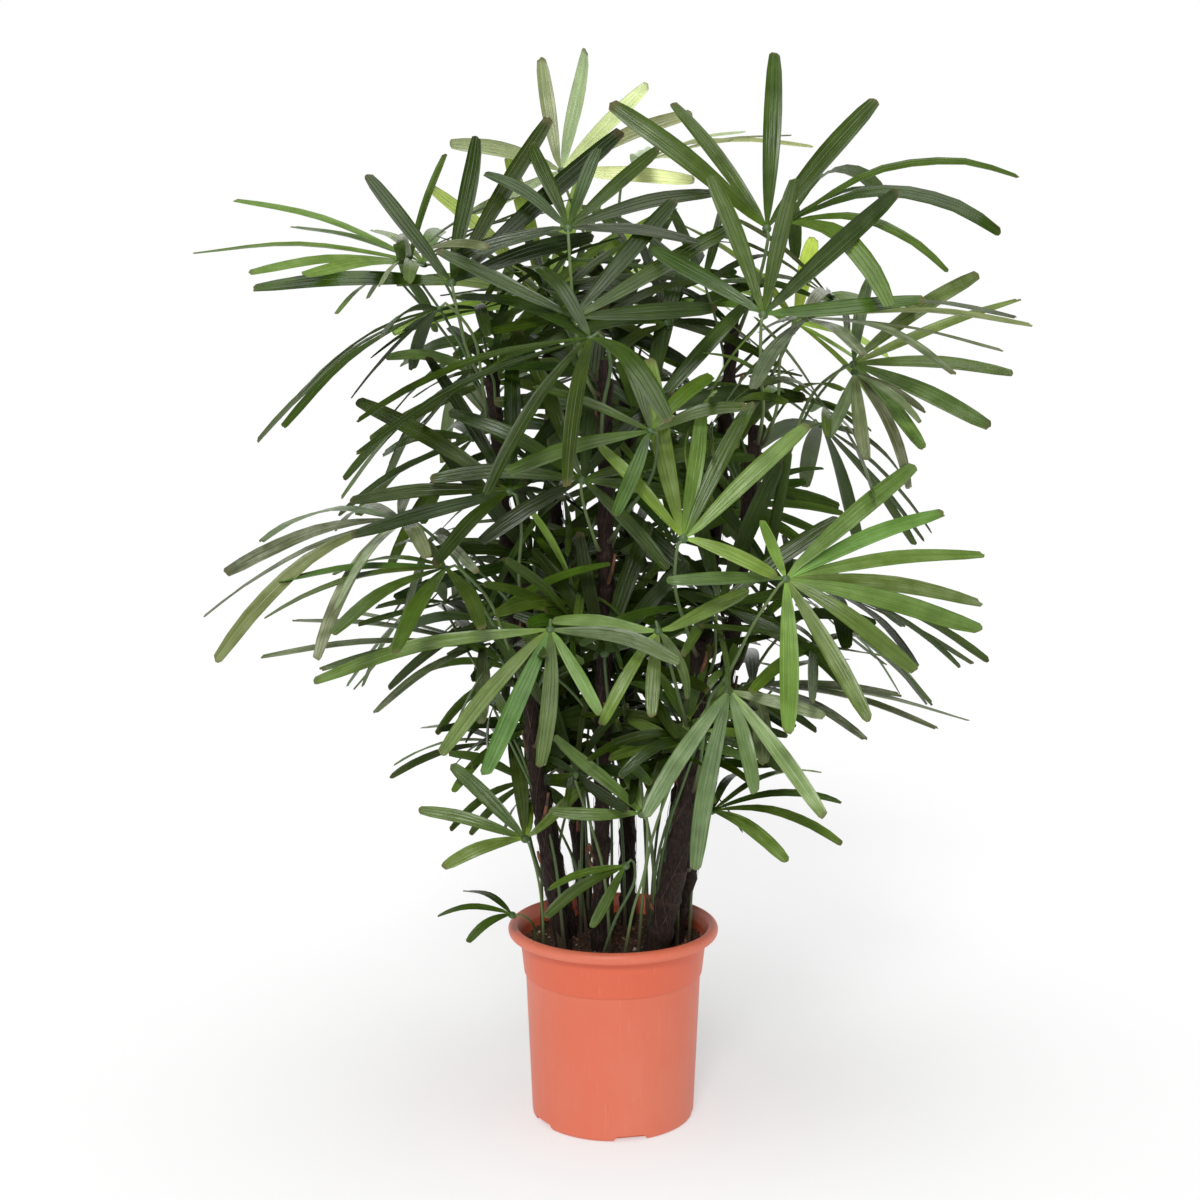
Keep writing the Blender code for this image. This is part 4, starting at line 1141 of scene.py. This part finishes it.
# Fronds that crowd against the outer ones: cane, hub, way out, tilt, colour and length
CROWDED = (
    ("left", (-0.238, 0.085, 0.952), (-1.0, 0.3), 50, "bright", 0.19),
    ("left", (-0.225, 0.030, 0.972), (-1.0, -0.2), 62, "greyish", 0.16),
    ("back_right", (0.245, 0.080, 0.930), (1.0, 0.2), 55, "greyish", 0.17),
    ("right", (0.240, 0.010, 0.800), (1.0, 0.0), 50, "green", 0.17),
    ("front_left", (-0.200, -0.020, 0.665), (-1.0, -0.1), 55, "greyish", 0.18),
    ("left", (-0.150, 0.060, 0.915), (-0.6, 0.5), 60, "dark", 0.17),
    ("front", (-0.070, 0.030, 0.925), (0.2, -1.0), 50, "dark", 0.17),
    ("back", (0.030, 0.090, 0.950), (0.1, -1.0), 45, "dark", 0.17),
    ("back_right", (0.100, 0.050, 0.945), (0.3, -0.8), 55, "dark", 0.17),
    ("right", (0.140, 0.030, 0.870), (0.5, -0.6), 50, "middle", 0.17),
    ("left", (-0.130, -0.020, 0.850), (-0.6, -0.6), 45, "dark", 0.16),
    ("back_left", (-0.100, 0.090, 0.980), (-0.4, 0.2), 65, "dark", 0.15),
    ("back_right", (0.150, 0.110, 0.960), (0.5, 0.5), 60, "middle", 0.17),
    ("back_left", (-0.040, 0.060, 0.890), (-0.2, -1.0), 35, "dark", 0.16),
    ("back", (0.060, 0.040, 0.900), (0.4, -1.0), 35, "dark", 0.16),
)
INNER_COLOURS = ("dark", "middle", "middle", "dark", "green")


def bent_rows(hub, run, side, face, angle, half, length, droop, lift):
    """Rows of a new leaflet at an angle from its fan's run, bent down by its own weight."""
    def ray(turned):
        return run * math.cos(turned) + side * math.sin(turned)

    across = ray(angle + math.pi / 2)
    rows = [[hub + ray(angle - half) * HUB_RADIUS, hub + ray(angle + half) * HUB_RADIUS]]
    direction = (ray(angle) + face * lift).normalized()
    level = Vector((direction.x, direction.y, 0.0)).length
    place = hub + ray(angle) * HUB_RADIUS
    for k in range(1, BENDS + 1):
        sunk = direction - Vector((0.0, 0.0, droop * level * k / BENDS))
        place = place + sunk.normalized() * length / BENDS
        if k % 4 == 0:
            width = INNER_WIDTH * (0.6 if k == BENDS else 1.0) * (0.75 + length)
            rows.append([place - across * width, place + across * width])
    return rows


blades, rods, knots_at, knot_faces = [], [], [], []


def grow_frond(seat, bend, hub, outward, tilt, colour, length, chance):
    """Grow a frond from its seat to its hub, and its leaflets where there is room for them."""
    face = (outward * math.cos(tilt) + Vector((0.0, 0.0, math.sin(tilt)))).normalized()
    run = outward * 0.5 + Vector((0.0, 0.0, 1.0))
    run = (run - face * run.dot(face)).normalized()
    side = run.cross(face)
    rod = smooth_line([seat, bend, hub - run * 0.006], ROD_POINTS)
    free_part = rod[3:-1]
    if not thicket.is_free(flat_strip(free_part, np.tile(side, (len(free_part), 1)),
                                      np.full(len(free_part), ROD_HALF_WIDTH))):
        return
    count = chance.randint(*INNER_LEAFLETS)
    spread = math.radians(chance.uniform(*INNER_SPREAD))
    droop = chance.uniform(*INNER_DROOP)
    fan = []
    for k in range(count):
        off_middle = (2 * k + 1) / count - 1
        for attempt in range(GROWING_TRIES):
            angle = off_middle * spread / 2 + chance.gauss(0.0, 0.05 + 0.02 * attempt)
            size = length * (1 - 0.25 * off_middle ** 2) * chance.uniform(0.8, 1.1) * (1 - 0.04 * attempt)
            rows = bent_rows(hub, run, side, face, angle, spread / count / 2 * 0.95, size,
                             droop * chance.uniform(0.6, 1.4), chance.gauss(0.05, 0.10 + 0.04 * attempt))
            line, given = blade_line(rows, hub, LEAF_COLOURS[colour], chance)
            strip = blade_strip(line, given)
            if thicket.is_free(strip):
                fan.append((line, given))
                thicket.add(strip)
                break
    if len(fan) < LEAST_LEAFLETS:
        return
    blades.extend(fan)
    along = np.linspace(0.0, 1.0, ROD_POINTS)
    rods.append((rod, {"radius": np.interp(along, STALK_SHARES, STALK_RADII) * ROD_SLIMNESS,
                       "along": along, "tint": np.full(ROD_POINTS, chance.random() * 0.6)}))
    knots_at.append(tuple(hub))
    knot_faces.append(face)


chance = random.Random(31)
for cane_place, hub, toward, tilt, colour, length in CROWDED:
    seat = cane_axis(CANES[cane_place], CROWDED_SEAT)
    grow_frond(seat, seat.lerp(Vector(hub), 0.5) + Vector((0.0, 0.0, 0.010)), Vector(hub),
               Vector((*toward, 0.0)).normalized(), math.radians(tilt), colour, length, chance)
places = list(CANES)
for number in range(INNER_FRONDS):
    cane = CANES[places[number % len(places)]]
    top = Vector(cane.top)
    is_sucker = chance.random() < SUCKER_SHARE
    lowest, highest = SUCKER_HEIGHTS if is_sucker else INNER_HEIGHTS
    height = chance.uniform(lowest, min(highest, top.z + ABOVE_CANE))
    share = np.clip((height - STALK_RISE - SOIL_TOP) / (top.z - SOIL_TOP), *SEAT_SHARES)
    seat = cane_axis(cane, float(share))
    around = chance.uniform(0.0, math.tau)
    outward = Vector((math.cos(around), math.sin(around), 0.0))
    reach, small = (SUCKER_REACH, LOW_SIZE) if height < LOW_HEIGHT else (INNER_REACH, 1.0)
    hub = Vector((seat.x, seat.y, height)) + outward * chance.uniform(*reach)
    if hub.y < next(limit for level, limit in FRONTMOST if height > level):
        continue
    bend = seat.lerp(hub, 0.45) + Vector((0.0, 0.0, 0.012))
    if is_sucker:
        seat = Vector((*(side + chance.gauss(0.0, SUCKER_SPREAD) for side in cane.foot),
                       SOIL_TOP - SOIL_SINK))
        if seat.xy.length > SUCKER_RING:
            continue
        bend = seat.lerp(hub, 0.5).lerp(Vector((seat.x, seat.y, (seat.z + hub.z) / 2)), 0.5)
    grow_frond(seat, bend, hub, outward, math.radians(chance.uniform(*INNER_TILT)),
               INNER_COLOURS[number % len(INNER_COLOURS)], chance.uniform(*INNER_LENGTH) * small, chance)

inner_leaflets = grow_leaflets("inner_leaflets", blades)
inner_stalks = grow_stalks("inner_stalks", rods)
inner_hubs = grow_hubs("inner_hubs", knots_at, knot_faces, INNER_HUB_SIZE)
for piece in (inner_leaflets, inner_stalks, inner_hubs):
    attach(piece, "root")


# Floor, light and camera

# A plain pale floor that glows a little, under soft studio light from above and from
# the front. The camera looks down on the plant at the photograph's angle.

FLOOR_RADIUS = 9.0
shape = bmesh.new()
bmesh.ops.create_circle(shape, cap_ends=True, segments=96, radius=FLOOR_RADIUS)
floor_mesh = bpy.data.meshes.new("floor")
shape.to_mesh(floor_mesh)
shape.free()


def paint_floor(maker, place):
    paper = maker.noise(place, 3.0, 2.0)
    return {"Base Color": maker.mix(paper, (0.42, 0.42, 0.42), (0.44, 0.44, 0.44))}


pale_floor = new_material("pale_floor", {
    "Roughness": 0.9, "Specular IOR Level": 0.1, "Emission Color": (1.0, 1.0, 1.0, 1.0),
    "Emission Strength": 0.50}, paint_floor)
floor = add_piece("floor", floor_mesh, [pale_floor])

world = bpy.data.worlds.new("studio")
world.use_nodes = True
maker = Maker(world.node_tree)
direction = maker.node("ShaderNodeTexCoord", output="Generated")
height = maker.part(direction, "Z")
depth = maker.part(direction, "Y")
wall_top = 0.05 + 0.31 * depth.above(-0.70, -0.35)
glow = maker.mix((height - wall_top).above(0.0, 0.12), (1.0, 1.0, 1.0), (0.17, 0.17, 0.17))
maker.join(glow, world.node_tree.nodes["Background"].inputs["Color"])
scene.world = world


def add_lamp(name, direction, strength, spread):
    """A far soft light that shines along a direction, spread degrees wide."""
    light = bpy.data.lights.new(name, "SUN")
    light.energy = strength
    light.angle = math.radians(spread)
    lamp = bpy.data.objects.new(name, light)
    lamp.rotation_euler = Vector(direction).to_track_quat("-Z", "Y").to_euler()
    scene.collection.objects.link(lamp)


add_lamp("top_light", (0.05, 0.15, -1.0), 2.0, 50)
add_lamp("front_light", (0.12, 0.80, -0.60), 1.5, 14)

scene.view_settings.view_transform = "Standard"
camera_data = bpy.data.cameras.new("camera")
camera_data.lens = 57.15
camera_data.sensor_width = 36.0
camera = bpy.data.objects.new("camera", camera_data)
camera.location = (-0.015, -2.1, 0.89)
camera.rotation_euler = (math.radians(82), 0.0, 0.0)
scene.collection.objects.link(camera)
scene.camera = camera
